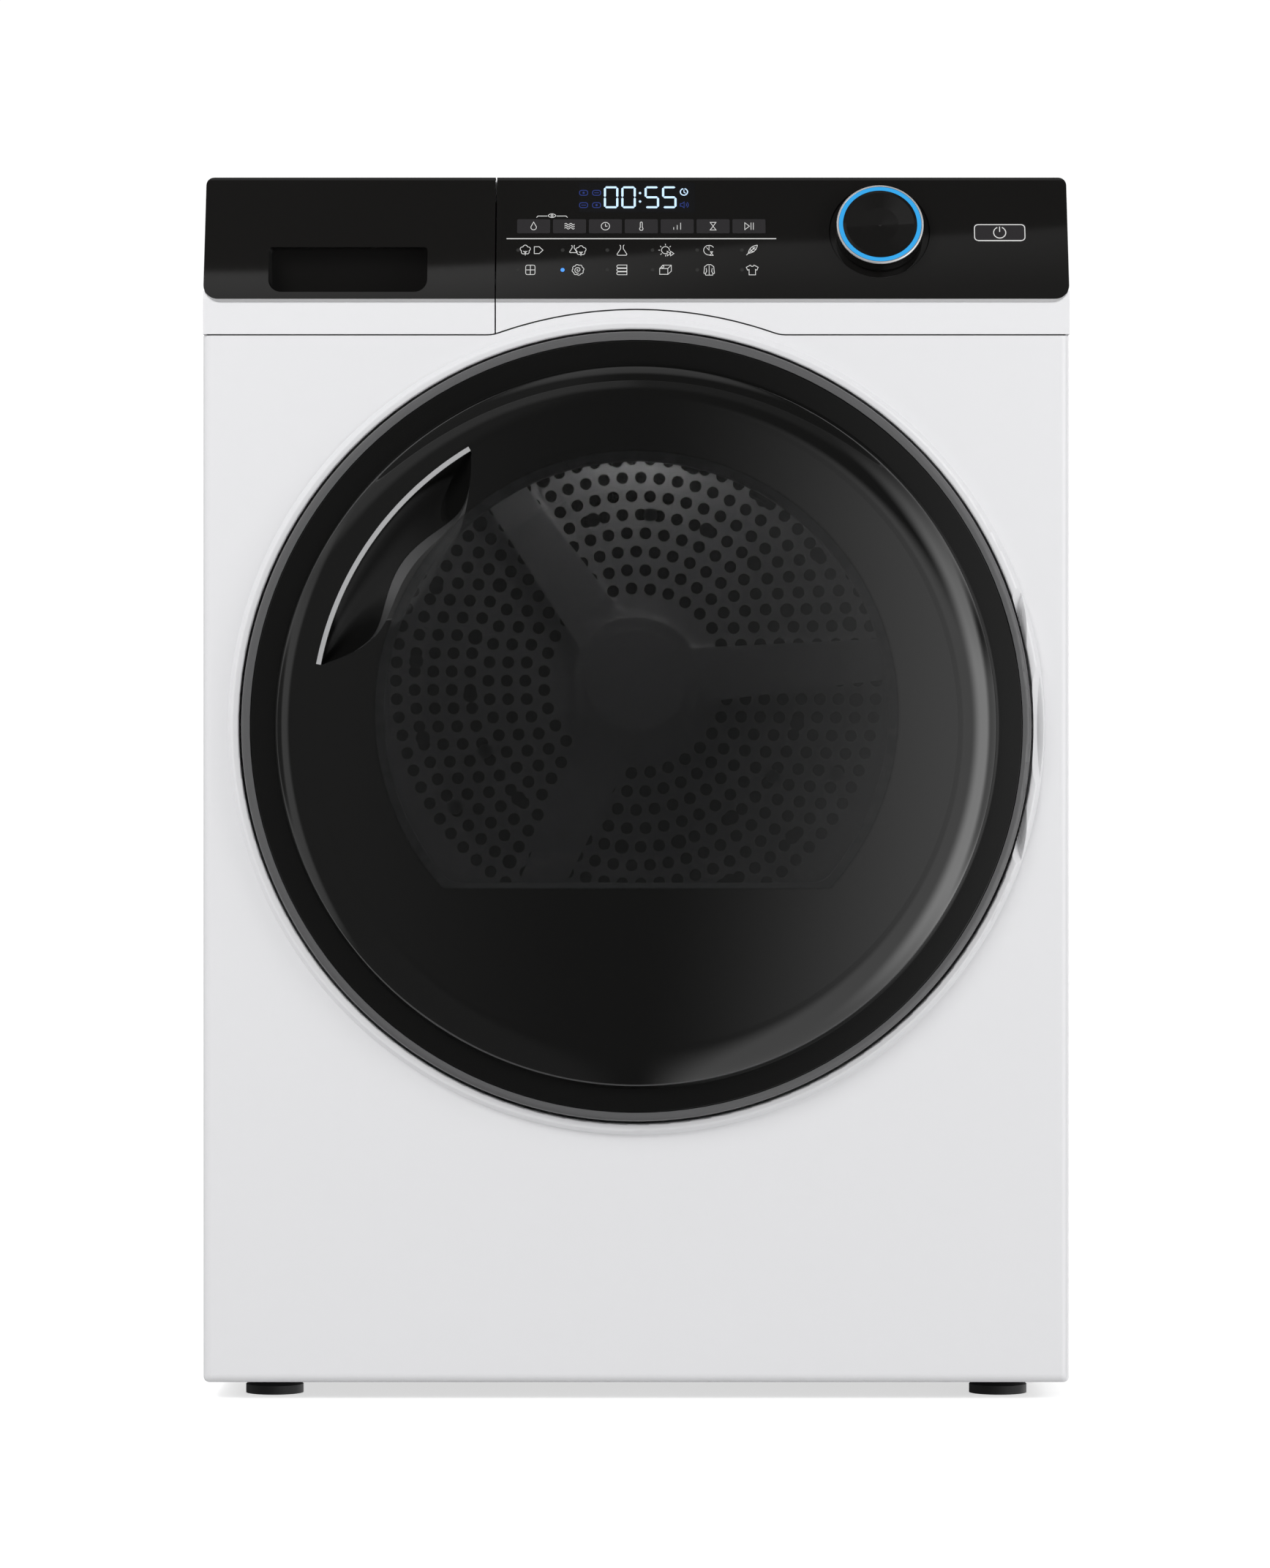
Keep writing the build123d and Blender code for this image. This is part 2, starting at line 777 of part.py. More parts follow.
def bowl_form(inset):
    """Tapered bowl, smaller by inset all round."""
    front = bowl_outline(bowl_radius - inset, bowl_z, bowl_flat + inset)
    end = bowl_outline(bowl_end_radius - inset, bowl_end_z, bowl_end_flat + inset)
    back = bowl_front + bowl_depth - inset
    return loft(
        [Pos(0, bowl_front, 0) * (Plane.XZ * front).face(), Pos(0, back, 0) * (Plane.XZ * end).face()],
    )


def door_glass():
    """Flat-footed glass bowl with a flange held by the inner frame."""
    flange = bowl_outline(bowl_radius, bowl_z, bowl_flat, bowl_flange)
    bowl = along_y(flange, bowl_front, bowl_front + bowl_wall) + bowl_form(0)
    return bowl - bowl_form(bowl_wall)


def door_inner_frame():
    """Back of the door: a rim inside the ring, a flat plate and a collar round the bowl."""
    rim = ring_radius - wall - run_gap
    frame = turned(
        [
            (0, inner_front_y),
            (rim - wall, inner_front_y),
            (rim - wall, seat_back),
            (rim, seat_back),
            (rim, inner_back_y),
            (0, inner_back_y),
        ],
        z=door_z,
        rounds=((4, wall),),
    )
    opening = bowl_outline(bowl_radius, bowl_z, bowl_flat, run_gap)
    collar = bowl_outline(bowl_radius, bowl_z, bowl_flat, run_gap + wall)
    frame += along_y(collar, inner_front_y, inner_back_y + collar_reach)
    frame -= along_y(opening, inner_front_y - seam, inner_back_y + collar_reach + seam)
    frame -= hinge_notch(0)
    boss_left = hinge_x - leaf_reach
    frame += block(
        boss_left, notch_x, leaf_back, inner_front_y, door_z - leaf_half, door_z + leaf_half,
    )
    return frame


leaf_front = hinge_y - leaf_thick / 2
leaf_back = hinge_y + leaf_thick / 2


def link(start, end, radius):
    """Plan sketch of a bar with round ends between two points."""
    return make_hull(disc(radius, *start).edges() + disc(radius, *end).edges())


def hinge_leaf():
    """Moving half of the hinge: an eye on the pin and a plate screwed to the inner frame."""
    z0, z1 = door_z - leaf_half, door_z + leaf_half
    leaf = block(hinge_x - leaf_reach, hinge_x, leaf_front, leaf_back, z0, z1)
    leaf += post(knuckle_radius, z0, z1, hinge_x, hinge_y)
    return leaf - post(pin_radius + bearing_gap, z0 - seam, z1 + seam, hinge_x, hinge_y)


def hinge_bracket():
    """Fixed half of the hinge: a plate on the recess floor with two bent lugs that hold the pin."""
    elbow = (hinge_x - 2.6 * knuckle_radius, hinge_y + 1.8 * knuckle_radius)
    root = (elbow[0], floor_y - lug_radius)
    arm = disc(knuckle_radius, hinge_x, hinge_y) + link((hinge_x, hinge_y), elbow, lug_radius)
    arm += link(elbow, root, lug_radius)
    low = leaf_half + seam
    high = low + lug_height
    bracket = block(
        elbow[0] - 3 * lug_radius, elbow[0] + 3 * lug_radius, floor_y - bracket_thick, floor_y,
        door_z - high, door_z + high,
    )
    for z0 in (door_z - high, door_z + low):
        bracket += along_z(arm, z0, z0 + lug_height)
    return bracket - post(
        pin_radius + bearing_gap, door_z - high - seam, door_z + high + seam, hinge_x, hinge_y,
    )


def hinge_pin():
    """Steel pin of the door hinge."""
    half = leaf_half + seam + lug_height
    return post(pin_radius, door_z - half, door_z + half, hinge_x, hinge_y)


def latch_hook():
    """Hook on the back of the door with a nose that the latch grips."""
    z0, z1 = door_z - latch_height / 2 + wall, door_z + latch_height / 2 - wall
    tip = inner_back_y + hook_reach
    plate = fillet(
        block(latch_x - hook_thick, latch_x + hook_thick, inner_back_y, inner_back_y + wall, z0, z1)
        .edges().filter_by(Axis.Y), seam,
    )
    hook = plate + block(latch_x - hook_thick / 2, latch_x + hook_thick / 2, inner_back_y, tip, z0, z1)
    return hook - rod(wall, tip - 4 * wall, tip - 2 * wall, latch_x, door_z)


def door_latch():
    """Latch box behind the bulkhead with a mouth for the hook."""
    half_x = latch_slot / 2 + 3 * wall
    half_z = latch_height / 2 + 4 * wall
    tip = inner_back_y + hook_reach + seam
    box = block(
        latch_x - half_x, latch_x + half_x, bulk_back, tip + wall, door_z - half_z, door_z + half_z,
    )
    box = fillet(box.edges().filter_by(Axis.Y), wall)
    half_mouth = latch_height / 2 + seam
    return box - block(
        latch_x - latch_slot / 2, latch_x + latch_slot / 2, bulk_back - seam, tip,
        door_z - half_mouth, door_z + half_mouth,
    )


def door_gasket():
    """Soft ring round the mouth that the door presses on."""
    high = inner_back_y + run_gap
    return turned(
        [
            (mouth_radius + seam, floor_y),
            (mouth_radius + seam, high + wall),
            (mouth_radius + seam + wall, high),
            (mouth_radius + gasket_width, high + 2 * wall),
            (mouth_radius + gasket_width, floor_y),
        ],
        z=door_z,
    )


# Front bulkhead, drum and its supports
bulk_gap = 0.2
bulk_thick = 2.6
bulk_low = 150.0
collar_radius = 262.0
collar_length = 34.0
felt_thick = 5.0
lip_radius = 270.0
pocket_half = 95.0
filter_low = door_z - 289.5
filter_top = door_z - 178.5
filter_slack = 1.0
grip_half = 40.0
grip_height = 12.0
roller_radius = 30.0
roller_width = 20.0
roller_angle = 35.0
axle_radius = 5.0
drum_sheet = 1.2
bead_depth = 2.0
bead_width = 16.0
hub_face = 49.0
arm_width = 46.0
arm_height = 6.0
arm_reach = 205.0
arm_turn = 5.0
hole_radius = 5.5
hole_rings = (129.0, 171.0)
hole_step = 20
lifter_height = 55.0
lifter_base = 76.0
lifter_top = 34.0
lifter_inset = 40.0

bulk_front = floor_y + sheet + bulk_gap
bulk_back = bulk_front + bulk_thick
filter_front = bulk_back + filter_slack
filter_back = drum_front - 2 * wall - filter_slack
felt_front = filter_back + filter_slack + wall + run_gap
inner_radius = drum_radius - drum_sheet
roller_spots = [
    (
        side * math.sin(math.radians(roller_angle)) * (drum_radius + roller_radius + run_gap),
        drum_z - math.cos(math.radians(roller_angle)) * (drum_radius + roller_radius + run_gap),
    )
    for side in (-1, 1)
]


def front_bulkhead():
    """Moulded front wall with the loading mouth, the drum collar, the filter pocket and roller bosses."""
    side = half_width - wall - seam
    wall_plate = rect(-side, side, bulk_low, black_low) - disc(mouth_radius, 0, door_z)
    bulk = along_y(wall_plate, bulk_front, bulk_back)
    bulk += turned(
        [
            (collar_radius, bulk_front),
            (collar_radius, bulk_back + collar_length),
            (collar_radius + wall, bulk_back + collar_length),
            (collar_radius + wall, bulk_front),
        ],
        z=drum_z,
    )
    outer = pocket_half + wall
    rear = filter_back + filter_slack
    bulk += block(-outer, outer, bulk_front, rear + wall, filter_low - wall - run_gap, filter_top)
    bulk -= block(-pocket_half, pocket_half, bulk_back, rear, filter_low - run_gap, filter_top + seam)
    for x, z in roller_spots:
        bulk += rod(2 * axle_radius, bulk_front, drum_front + wall, x, z)
        bulk -= rod(axle_radius, bulk_front - seam, drum_front + 2 * wall, x, z)
    return bulk - block(
        latch_x - latch_slot / 2, latch_x + latch_slot / 2, bulk_front - seam, bulk_back + seam,
        door_z - latch_height / 2 - seam, door_z + latch_height / 2 + seam,
    )


def drum_felt_seals():
    """Felt rings at the front and back of the drum."""
    inner = collar_radius + wall + bulk_gap
    front = turned(
        [
            (inner, felt_front),
            (lip_radius - run_gap, felt_front),
            (lip_radius - run_gap, bulk_back + collar_length),
            (inner, bulk_back + collar_length),
        ],
        z=drum_z,
    )
    rear = turned(
        [
            (air_ring + felt_thick, drum_rear + run_gap),
            (seal_ring - wall, drum_rear + run_gap),
            (seal_ring - wall, rear_y - collar_depth),
            (air_ring + felt_thick, rear_y - collar_depth),
        ],
        z=drum_z,
    )
    return Compound(children=[single(front), single(rear)])


def lint_filter():
    """Flat filter cassette with two mesh windows and a finger grip."""
    half = pocket_half - filter_slack
    body = block(-half, half, filter_front, filter_back, filter_low, filter_top)
    middle = (filter_front + filter_back) / 2
    edge = 4 * wall
    for x0, x1 in ((-half + edge, -edge / 2), (edge / 2, half - edge)):
        for y0, y1 in (
            (filter_front - seam, middle - seam / 2), (middle + seam / 2, filter_back + seam),
        ):
            body -= block(x0, x1, y0, y1, filter_low + edge, filter_top - edge)
    grip = block(
        -grip_half, grip_half, middle - wall, middle + wall, filter_top, filter_top + grip_height,
    )
    grip = fillet(grip.edges().filter_by(Axis.Y).group_by(Axis.Z)[-1], wall * 2)
    return body + grip


def support_roller(x, z):
    """Rubber-tyred roller that carries the front of the drum."""
    y0 = drum_front + 2 * wall
    roller = rod(roller_radius, y0, y0 + roller_width, x, z)
    roller = chamfer(roller.edges(), seam)
    return roller - rod(axle_radius + bearing_gap, y0 - seam, y0 + roller_width + seam, x, z)


def roller_axles():
    """Two steel axles with heads, held in the bosses of the bulkhead."""
    axles = []
    for x, z in roller_spots:
        end = drum_front + 2 * wall + roller_width + run_gap
        axle = rod(
            axle_radius, bulk_front, end + wall, x, z,
        ) + rod(axle_radius + wall, end, end + wall, x, z)
        axles.append(single(axle))
    return Compound(children=axles)


def drum_shell():
    """Rolled drum wall with a front lip and two pressed beads."""
    r = drum_radius
    beads = [drum_front + 110, drum_rear - 110]
    outside = [(lip_radius, drum_front), (r, drum_front)]
    inside = [(lip_radius, drum_front + drum_sheet), (inner_radius, drum_front + drum_sheet)]
    for y in beads:
        for line, radius in ((outside, r), (inside, inner_radius)):
            line.append((radius, y - bead_width / 2))
            line.append((radius - bead_depth, y - bead_width / 4))
            line.append((radius - bead_depth, y + bead_width / 4))
            line.append((radius, y + bead_width / 2))
    outside.append((r, drum_rear))
    inside.append((inner_radius, drum_rear))
    return turned(outside + inside[::-1], z=drum_z)


def drum_back():
    """Drum end plate with a stepped hub, three raised arms and rings of air holes between them."""
    front = drum_rear - drum_sheet
    plate = rod(inner_radius, front, drum_rear, 0, 0)
    arm = make_face(
        Polyline(
            (0, -arm_width / 2), (
                arm_reach, -arm_width / 3,
            ), (arm_reach, arm_width / 3), (0, arm_width / 2),
            close=True,
        )
    )
    arm = fillet(arm.vertices().sort_by(Axis.X)[-2:], arm_width / 5)
    arms = Sketch() + [Rot(0, 0, arm_turn + turn) * arm for turn in (0, 120, 240)]
    plate += along_y(arms, front - arm_height, front)
    for radius, height in ((hub_face, 2 * arm_height), (hub_face - 10, 2 * arm_height + wall)):
        plate += rod(radius, front - height, front)
    holes = []
    for ring, radius in enumerate(hole_rings):
        for step in range(0, 360, hole_step):
            turn = math.radians(step + (ring % 2) * hole_step / 2 + arm_turn)
            x, z = radius * math.cos(turn), radius * math.sin(turn)
            clear = min(
                abs(
                    math.remainder(turn - math.radians(arm_turn + a), 2 * math.pi),
                ) for a in (0, 120, 240)
            )
            if radius * math.sin(
                min(clear, math.pi / 2),
            ) > arm_width / 2 + hole_radius or radius > arm_reach + hole_radius:
                holes.append(disc(hole_radius, x, z))
    plate -= along_y(Sketch() + holes, front - seam, drum_rear + seam)
    return Pos(0, 0, drum_z) * plate


def drum_lifters():
    """Three hollow paddles that lift the load, seated on the inside of the drum wall."""
    root = inner_radius - run_gap
    profile = make_face(
        Polyline(
            (root - lifter_height, -lifter_top / 2), (root, -lifter_base / 2), (root + wall, 0),
            (root, lifter_base / 2), (root - lifter_height, lifter_top / 2), close=True,
        )
    )
    profile = fillet(profile.vertices().sort_by(Axis.X)[:2], lifter_top / 3)
    profile = profile & disc(root - bead_depth)
    y0, y1 = drum_front + lifter_inset, drum_rear - lifter_inset / 2
    hollow = Pos(2 * wall, 0) * offset(profile, -wall)
    lifter = along_y(profile, y0, y1) - along_y(hollow, y0 + wall, y1 - wall)
    spots = [Pos(0, 0, drum_z) * Rot(0, -arm_turn - turn, 0) * lifter for turn in (0, 120, 240)]
    return Compound(children=[single(lifter) for lifter in spots])


def drum_shaft():
    """Stub shaft with a flange riveted to the back of the drum."""
    end = rear_y - seam
    return rod(
        hub_face, drum_rear, drum_rear + arm_height, 0, drum_z,
    ) + rod(shaft_radius, drum_rear, end, 0, drum_z)


def drum_bearing():
    """Flanged bearing bush in the hub of the rear panel."""
    face = rear_y - hub_depth
    return turned(
        [
            (shaft_radius + bearing_gap, face - 2 * wall),
            (bearing_radius + 2 * wall, face - 2 * wall),
            (bearing_radius + 2 * wall, face),
            (bearing_radius, face),
            (bearing_radius, rear_y),
            (shaft_radius + bearing_gap, rear_y),
        ],
        z=drum_z,
    )


# Drive
motor_x = half_width - 103.0
motor_z = 136.0
motor_radius = 50.0
motor_front = rear_y - 188.0
motor_length = 116.0
motor_shaft_radius = 5.0
belt_y = rear_y - 212.0
belt_width = 12.0
belt_thick = 2.0
pulley_radius = 11.0
pulley_flange = 3.0
blower_front = rear_y - 60.0
blower_radius = 66.0
wheel_radius = 58.0
wheel_width = 36.0
blade_count = 20
blade_depth = 10.0
mouth_half = 45.0
mouth_low = 156.0
mouth_rise = 80.0
mouth_corner = 12.0
cover_flange = 12.0
cover_round = 14.0
idler_radius = 18.0
idler_share = 0.62
idler_arm_length = 62.0
arm_thick = 4.0

floor_top = tray_floor + tray_wall
belt_inner_drum = drum_radius + run_gap
belt_inner_pulley = pulley_radius + run_gap
centre_run = math.hypot(motor_x, drum_z - motor_z)
run_angle = math.atan2(motor_z - drum_z, motor_x)
swing = math.acos((belt_inner_drum - belt_inner_pulley) / centre_run)
run_normal = (math.cos(run_angle + swing), math.sin(run_angle + swing))
run_start = [(drum_radius + belt_thick) * n for n in run_normal]
run_end = [(pulley_radius + belt_thick) * n for n in run_normal]
idler_reach = idler_radius + 2 * run_gap
idler_spot = (
    run_start[0] * (1 - idler_share) + (
        motor_x + run_end[0]
    ) * idler_share + idler_reach * run_normal[0],
    (
        drum_z + run_start[1]
    ) * (1 - idler_share) + (motor_z + run_end[1]) * idler_share + idler_reach * run_normal[1],
)
pivot_spot = (idler_spot[0] - idler_arm_length * 0.28, idler_spot[1] - idler_arm_length * 0.96)


def belt_loop(grow):
    """Outline of the belt round the drum and the motor pulley."""
    around = disc(belt_inner_drum + grow, 0, drum_z).edges() + disc(
        belt_inner_pulley + grow, motor_x, motor_z,
    ).edges()
    return make_hull(around)


def drive_belt():
    """Endless flat belt."""
    return along_y(
        belt_loop(belt_thick) - belt_loop(0), belt_y - belt_width / 2, belt_y + belt_width / 2,
    )


def motor_shaft():
    """Motor shaft with the flanged belt pulley at its front end."""
    half = belt_width / 2 + seam
    shaft = rod(
        motor_shaft_radius, belt_y - half - wall, blower_front + wheel_width + wall, motor_x,
        motor_z,
    )
    shaft += rod(pulley_radius, belt_y - half, belt_y + half, motor_x, motor_z)
    for y in (belt_y - half - wall, belt_y + half):
        shaft += rod(pulley_radius + pulley_flange, y, y + wall, motor_x, motor_z)
    return shaft


def drive_motor():
    """Motor can with rounded ends on a cradle that stands on the base tray."""
    can = rod(motor_radius, motor_front, motor_front + motor_length, motor_x, motor_z)
    can = fillet(can.edges(), 3 * wall)
    for y in (motor_front + 4 * wall, motor_front + motor_length - 8 * wall):
        can += block(
            motor_x - 0.8 * motor_radius, motor_x + 0.8 * motor_radius, y, y + 4 * wall, floor_top,
            motor_z,
        )
    bore = motor_shaft_radius + bearing_gap
    return can - rod(bore, motor_front - seam, motor_front + motor_length + seam, motor_x, motor_z)


def blower_wheel():
    """Radial fan wheel: a back plate, a ring and a row of blades."""
    y0 = blower_front + 2 * wall
    y1 = y0 + wheel_width - 2 * wall
    wheel = rod(wheel_radius, y1 - wall, y1) + rod(2 * motor_shaft_radius, y0, y1)
    wheel += rod(wheel_radius, y0, y0 + wall) - rod(
        wheel_radius - blade_depth, y0 - seam, y0 + wall + seam,
    )
    blade = block(wheel_radius - blade_depth, wheel_radius - seam, y0, y1, -sheet / 2, sheet / 2)
    for i in range(blade_count):
        wheel += Rot(0, i * 360 / blade_count, 0) * blade
    wheel -= rod(motor_shaft_radius, y0 - seam, y1 + seam)
    return Pos(motor_x, 0, motor_z) * wheel


def blower_housing():
    """Blower scroll with an inlet at the motor side and an outlet through the rear panel."""
    scroll = disc(blower_radius, motor_x, motor_z)
    throat = rect(
        motor_x - mouth_half - wall, motor_x + mouth_half + wall, motor_z,
        mouth_low + mouth_rise + wall,
    )
    outer = scroll + throat
    rear = rear_y - sheet
    housing = along_y(outer, blower_front, rear) - along_y(
        offset(outer, -wall), blower_front + wall, rear - wall,
    )
    housing -= along_y(duct_mouth(), rear - 2 * wall, rear + seam)
    return housing - rod(
        wheel_radius - blade_depth, blower_front - seam, blower_front + 2 * wall, motor_x, motor_z,
    )


def idler_arm():
    """Sprung arm with a pivot eye and a stub that carries the idler pulley."""
    y0 = belt_y + belt_width / 2 + wall
    arm = along_y(
        make_hull(disc(8, *pivot_spot).edges() + disc(8, *idler_spot).edges()), y0, y0 + arm_thick,
    )
    arm += rod(axle_radius, belt_y - belt_width / 2, y0, *idler_spot)
    return arm - rod(axle_radius + bearing_gap, y0 - seam, y0 + arm_thick + seam, *pivot_spot)


def idler_pulley():
    """Plain pulley that presses on the back of the belt."""
    y0, y1 = belt_y - belt_width / 2, belt_y + belt_width / 2 + wall - run_gap
    return rod(idler_radius, y0, y1, *idler_spot) - rod(
        axle_radius + bearing_gap, y0 - seam, y1 + seam, *idler_spot,
    )


def idler_post():
    """Post of the base tray with the pin that the idler arm turns on."""
    y0 = belt_y + belt_width / 2 + wall
    foot_y = y0 + arm_thick + run_gap
    x, z = pivot_spot
    bracket = block(x - 4 * wall, x + 4 * wall, foot_y, foot_y + arm_thick, floor_top, z + 4 * wall)
    return bracket + rod(axle_radius, y0 - run_gap, foot_y, x, z)


# Heat pump, water circuit and drawer
channel_left = 98.0 - half_width
channel_right = 5.0
channel_front = front_y + 75.0
channel_rear = rear_y - 157.0
channel_top = 170.0
coil_front = channel_front + 10.0
coil_length = (channel_rear - channel_front - 70.0) / 2
coil_pitch = coil_length + 20.0
coil_bar = 9.0
fin_count = 15
compressor_x = half_width - 108.0
compressor_y = front_y + 170.0
compressor_radius = 58.0
compressor_top = 205.0
pipe_radius = 4.0
pipe_bend = 18.0
pipe_port = 8.0
pump_x = 83.0 - half_width
pump_y = rear_y - 82.0
pump_radius = 32.0
pump_top = 110.0
hose_radius = 4.5
hose_bend = 14.0
hose_x = 6.5 - half_width
hose_y = rear_y - 50.0
hose_low = 145.0
hose_high = worktop_low - 24.0
spout_x = 98.0 - half_width
spout_size = 16.0
gland_x = 58.0 - half_width
gland_z = 110.0
gland_radius = 10.0
cord_radius = 4.5
gland_length = 14.0
spigot_x = 148.0 - half_width
spigot_z = 85.0
spigot_radius = 8.0
spigot_length = 26.0
guide_low = worktop_low - 49.5
guide_floor = 2.0
guide_rear = rear_y - 57.0
guide_edge = drawer_edge - 4.0
tank_top = worktop_low - 4.0
tank_wall = 2.0
tank_rear = guide_rear - 7.0
filler_radius = 12.0
bar_front = front_y + 33.0
bar_rear = front_y + 47.0

tank_low = guide_low + guide_floor + run_gap
pocket_back = front_y + pocket_depth + wall


def heat_exchangers():
    """Evaporator and condenser: upright fins on cross tubes, side by side in the air channel."""
    x0, x1 = channel_left + tray_wall / 2 + run_gap, channel_right - tray_wall / 2 - run_gap
    pitch = (x1 - x0 - sheet) / (fin_count - 1)
    coils = []
    for i in range(2):
        y0 = coil_front + i * coil_pitch
        coil = Part()
        for j in range(fin_count):
            x = x0 + j * pitch
            coil += block(x, x + sheet, y0, y0 + coil_length, floor_top, channel_top)
        for y in (y0 + coil_length / 4, y0 + coil_length * 3 / 4):
            for z in (floor_top + coil_bar * 2, channel_top - coil_bar * 3):
                coil += block(x0, x1, y, y + coil_bar, z, z + coil_bar)
        coils.append(single(coil))
    return Compound(children=coils)


def heat_pump_cover():
    """Lid over the air channel with a turned-down rim."""
    reach = tray_wall / 2 + run_gap
    x0, x1 = channel_left - reach - wall, channel_right + reach + wall
    lid = block(
        x0, x1, channel_front - wall, channel_rear + wall, channel_top - 4 * wall,
        channel_top + wall,
    )
    inner = block(x0 + wall, x1 - wall, channel_front - seam, channel_rear + seam, 0, channel_top)
    lid = fillet(lid.edges().filter_by(Axis.Z), wall)
    lid -= inner
    low = channel_top - 4 * wall - seam
    return lid - block(
        x0 + 2 * wall, x1 - 2 * wall, channel_front - 2 * wall, channel_rear + 2 * wall, low,
        channel_top,
    )


def compressor():
    """Welded compressor shell on three feet with two pipe ports and a terminal cap."""
    shell = post(compressor_radius, floor_top + pipe_bend, compressor_top, compressor_x, compressor_y)
    shell = chamfer(shell.edges(), pipe_bend / 2)
    for turn in (0, 120, 240):
        reach = compressor_radius * 0.8
        x = compressor_x + reach * math.cos(math.radians(turn))
        y = compressor_y + reach * math.sin(math.radians(turn))
        shell += post(pipe_bend / 2, floor_top, floor_top + 3 * pipe_bend, x, y)
    for y, z in pipe_ports():
        port = Pos(
            (compressor_x + port_x) / 2, y, z,
        ) * Rot(0, 90, 0) * Cylinder(pipe_port, compressor_x - port_x)
        shell += port
    return shell + post(
        pipe_bend, compressor_top - pipe_bend, compressor_top + 2 * wall, compressor_x,
        compressor_y,
    )


port_x = compressor_x - compressor_radius - pipe_port


def pipe_ports():
    """Heights and depths at which the two refrigerant pipes leave the compressor."""
    return (
        compressor_y + pipe_port, floor_top + 5 * pipe_port * 3,
    ), (compressor_y - pipe_port, floor_top + 8 * pipe_port)


def tube(points, bend, radius):
    """Round tube along straight runs joined by arcs."""
    path = FilletPolyline(*points, radius=bend)
    return sweep(Plane(origin=path @ 0, z_dir=path % 0) * Circle(radius), path=path)


def refrigerant_pipes():
    """Two copper pipes from the compressor to the exchangers."""
    (y_a, z_a), (y_b, z_b) = pipe_ports()
    middle = (port_x + channel_right) / 2
    end = channel_right + tray_wall / 2
    condenser_y = coil_front + coil_pitch + coil_length / 2
    first = tube(
        [(port_x, y_a, z_a), (middle, y_a, z_a), (middle, condenser_y, z_a), (end, condenser_y, z_a)],
        pipe_bend, pipe_radius,
    )
    rise = z_b + 2.5 * pipe_bend
    second = tube([(port_x, y_b, z_b), (middle, y_b, z_b), (middle, y_b, rise), (end, y_b, rise)],
                  pipe_bend, pipe_radius)
    return Compound(children=[single(first), single(second)])


def condensate_pump():
    """Small pump on the base tray with a spout for the hose."""
    body = post(pump_radius, floor_top, pump_top - pipe_bend, pump_x, pump_y)
    body = chamfer(body.edges().group_by(Axis.Z)[-1], 2 * wall)
    return body + post(hose_radius + wall, floor_top, pump_top, pump_x, pump_y)


def pump_hose():
    """Hose from the pump up the rear corner to the spout of the tank guide."""
    return tube(
        [
            (pump_x, pump_y, pump_top),
            (pump_x, pump_y, hose_low),
            (pump_x, hose_y, hose_low),
            (hose_x, hose_y, hose_low),
            (hose_x, hose_y, hose_high),
            (spout_x, hose_y, hose_high),
        ],
        hose_bend,
        hose_radius,
    )


def cord_gland():
    """Flanged gland in the rear panel for the mains cord."""
    gland = rod(gland_radius, rear_y - sheet - wall, rear_y + gland_length, gland_x, gland_z)
    gland += rod(gland_radius + 2 * wall, rear_y, rear_y + wall, gland_x, gland_z)
    return gland - rod(
        cord_radius, rear_y - 2 * wall - seam, rear_y + gland_length + seam, gland_x, gland_z,
    )


def drain_spigot():
    """Hose spigot on the back for a direct drain, with a bead at its end."""
    spigot = rod(spigot_radius, rear_y - sheet - wall, rear_y + spigot_length, spigot_x, spigot_z)
    spigot += rod(spigot_radius + 2 * wall, rear_y, rear_y + wall, spigot_x, spigot_z)
    return spigot - rod(
        spigot_radius - wall, rear_y - 2 * wall, rear_y + spigot_length + seam, spigot_x, spigot_z,
    )


def rear_fittings():
    """Cord gland and drain spigot, the two fittings let into the rear panel."""
    return Compound(children=[single(cord_gland()), single(drain_spigot())])


def tank_guide():
    """Tray on the crossbar that the water tank slides on, with the filling spout at its back."""
    left = -half_width + sheet + run_gap
    top = worktop_low - seam
    guide = block(left, guide_edge, bar_front + seam, guide_rear, guide_low, guide_low + guide_floor)
    guide += block(
        guide_edge, guide_edge + guide_floor, fascia_back + 2 * seam, guide_rear, guide_low, top,
    )
    guide += block(left, guide_edge + guide_floor, guide_rear - guide_floor, guide_rear, guide_low, top)
    half = spout_size / 2
    return guide + block(
        spout_x, spout_x + spout_size, guide_rear - guide_floor, hose_y + half,
        hose_high - half, hose_high + half,
    )


def tank_body():
    """Long flat water tank with rounded edges and a filling hole at its back."""
    left = -half_width + sheet + 2 * run_gap + tank_wall * 2
    right = guide_edge - tank_wall
    tank = block(left, right, pocket_back, tank_rear, tank_low, tank_top)
    tank = fillet(tank.edges().filter_by(Axis.Y), 2 * tank_wall)
    hollow = offset(tank, -tank_wall)
    tank -= hollow
    filler_y = tank_rear - 2 * filler_radius
    return tank - post(filler_radius, tank_top - 2 * tank_wall, tank_top + seam, spout_x, filler_y)


left_span = (-half_width, drawer_edge - seam / 2, -half_width)
right_span = (drawer_edge + seam / 2, half_width, half_width)
feet_names = ("foot_front_left", "foot_front_right", "foot_rear_left", "foot_rear_right")

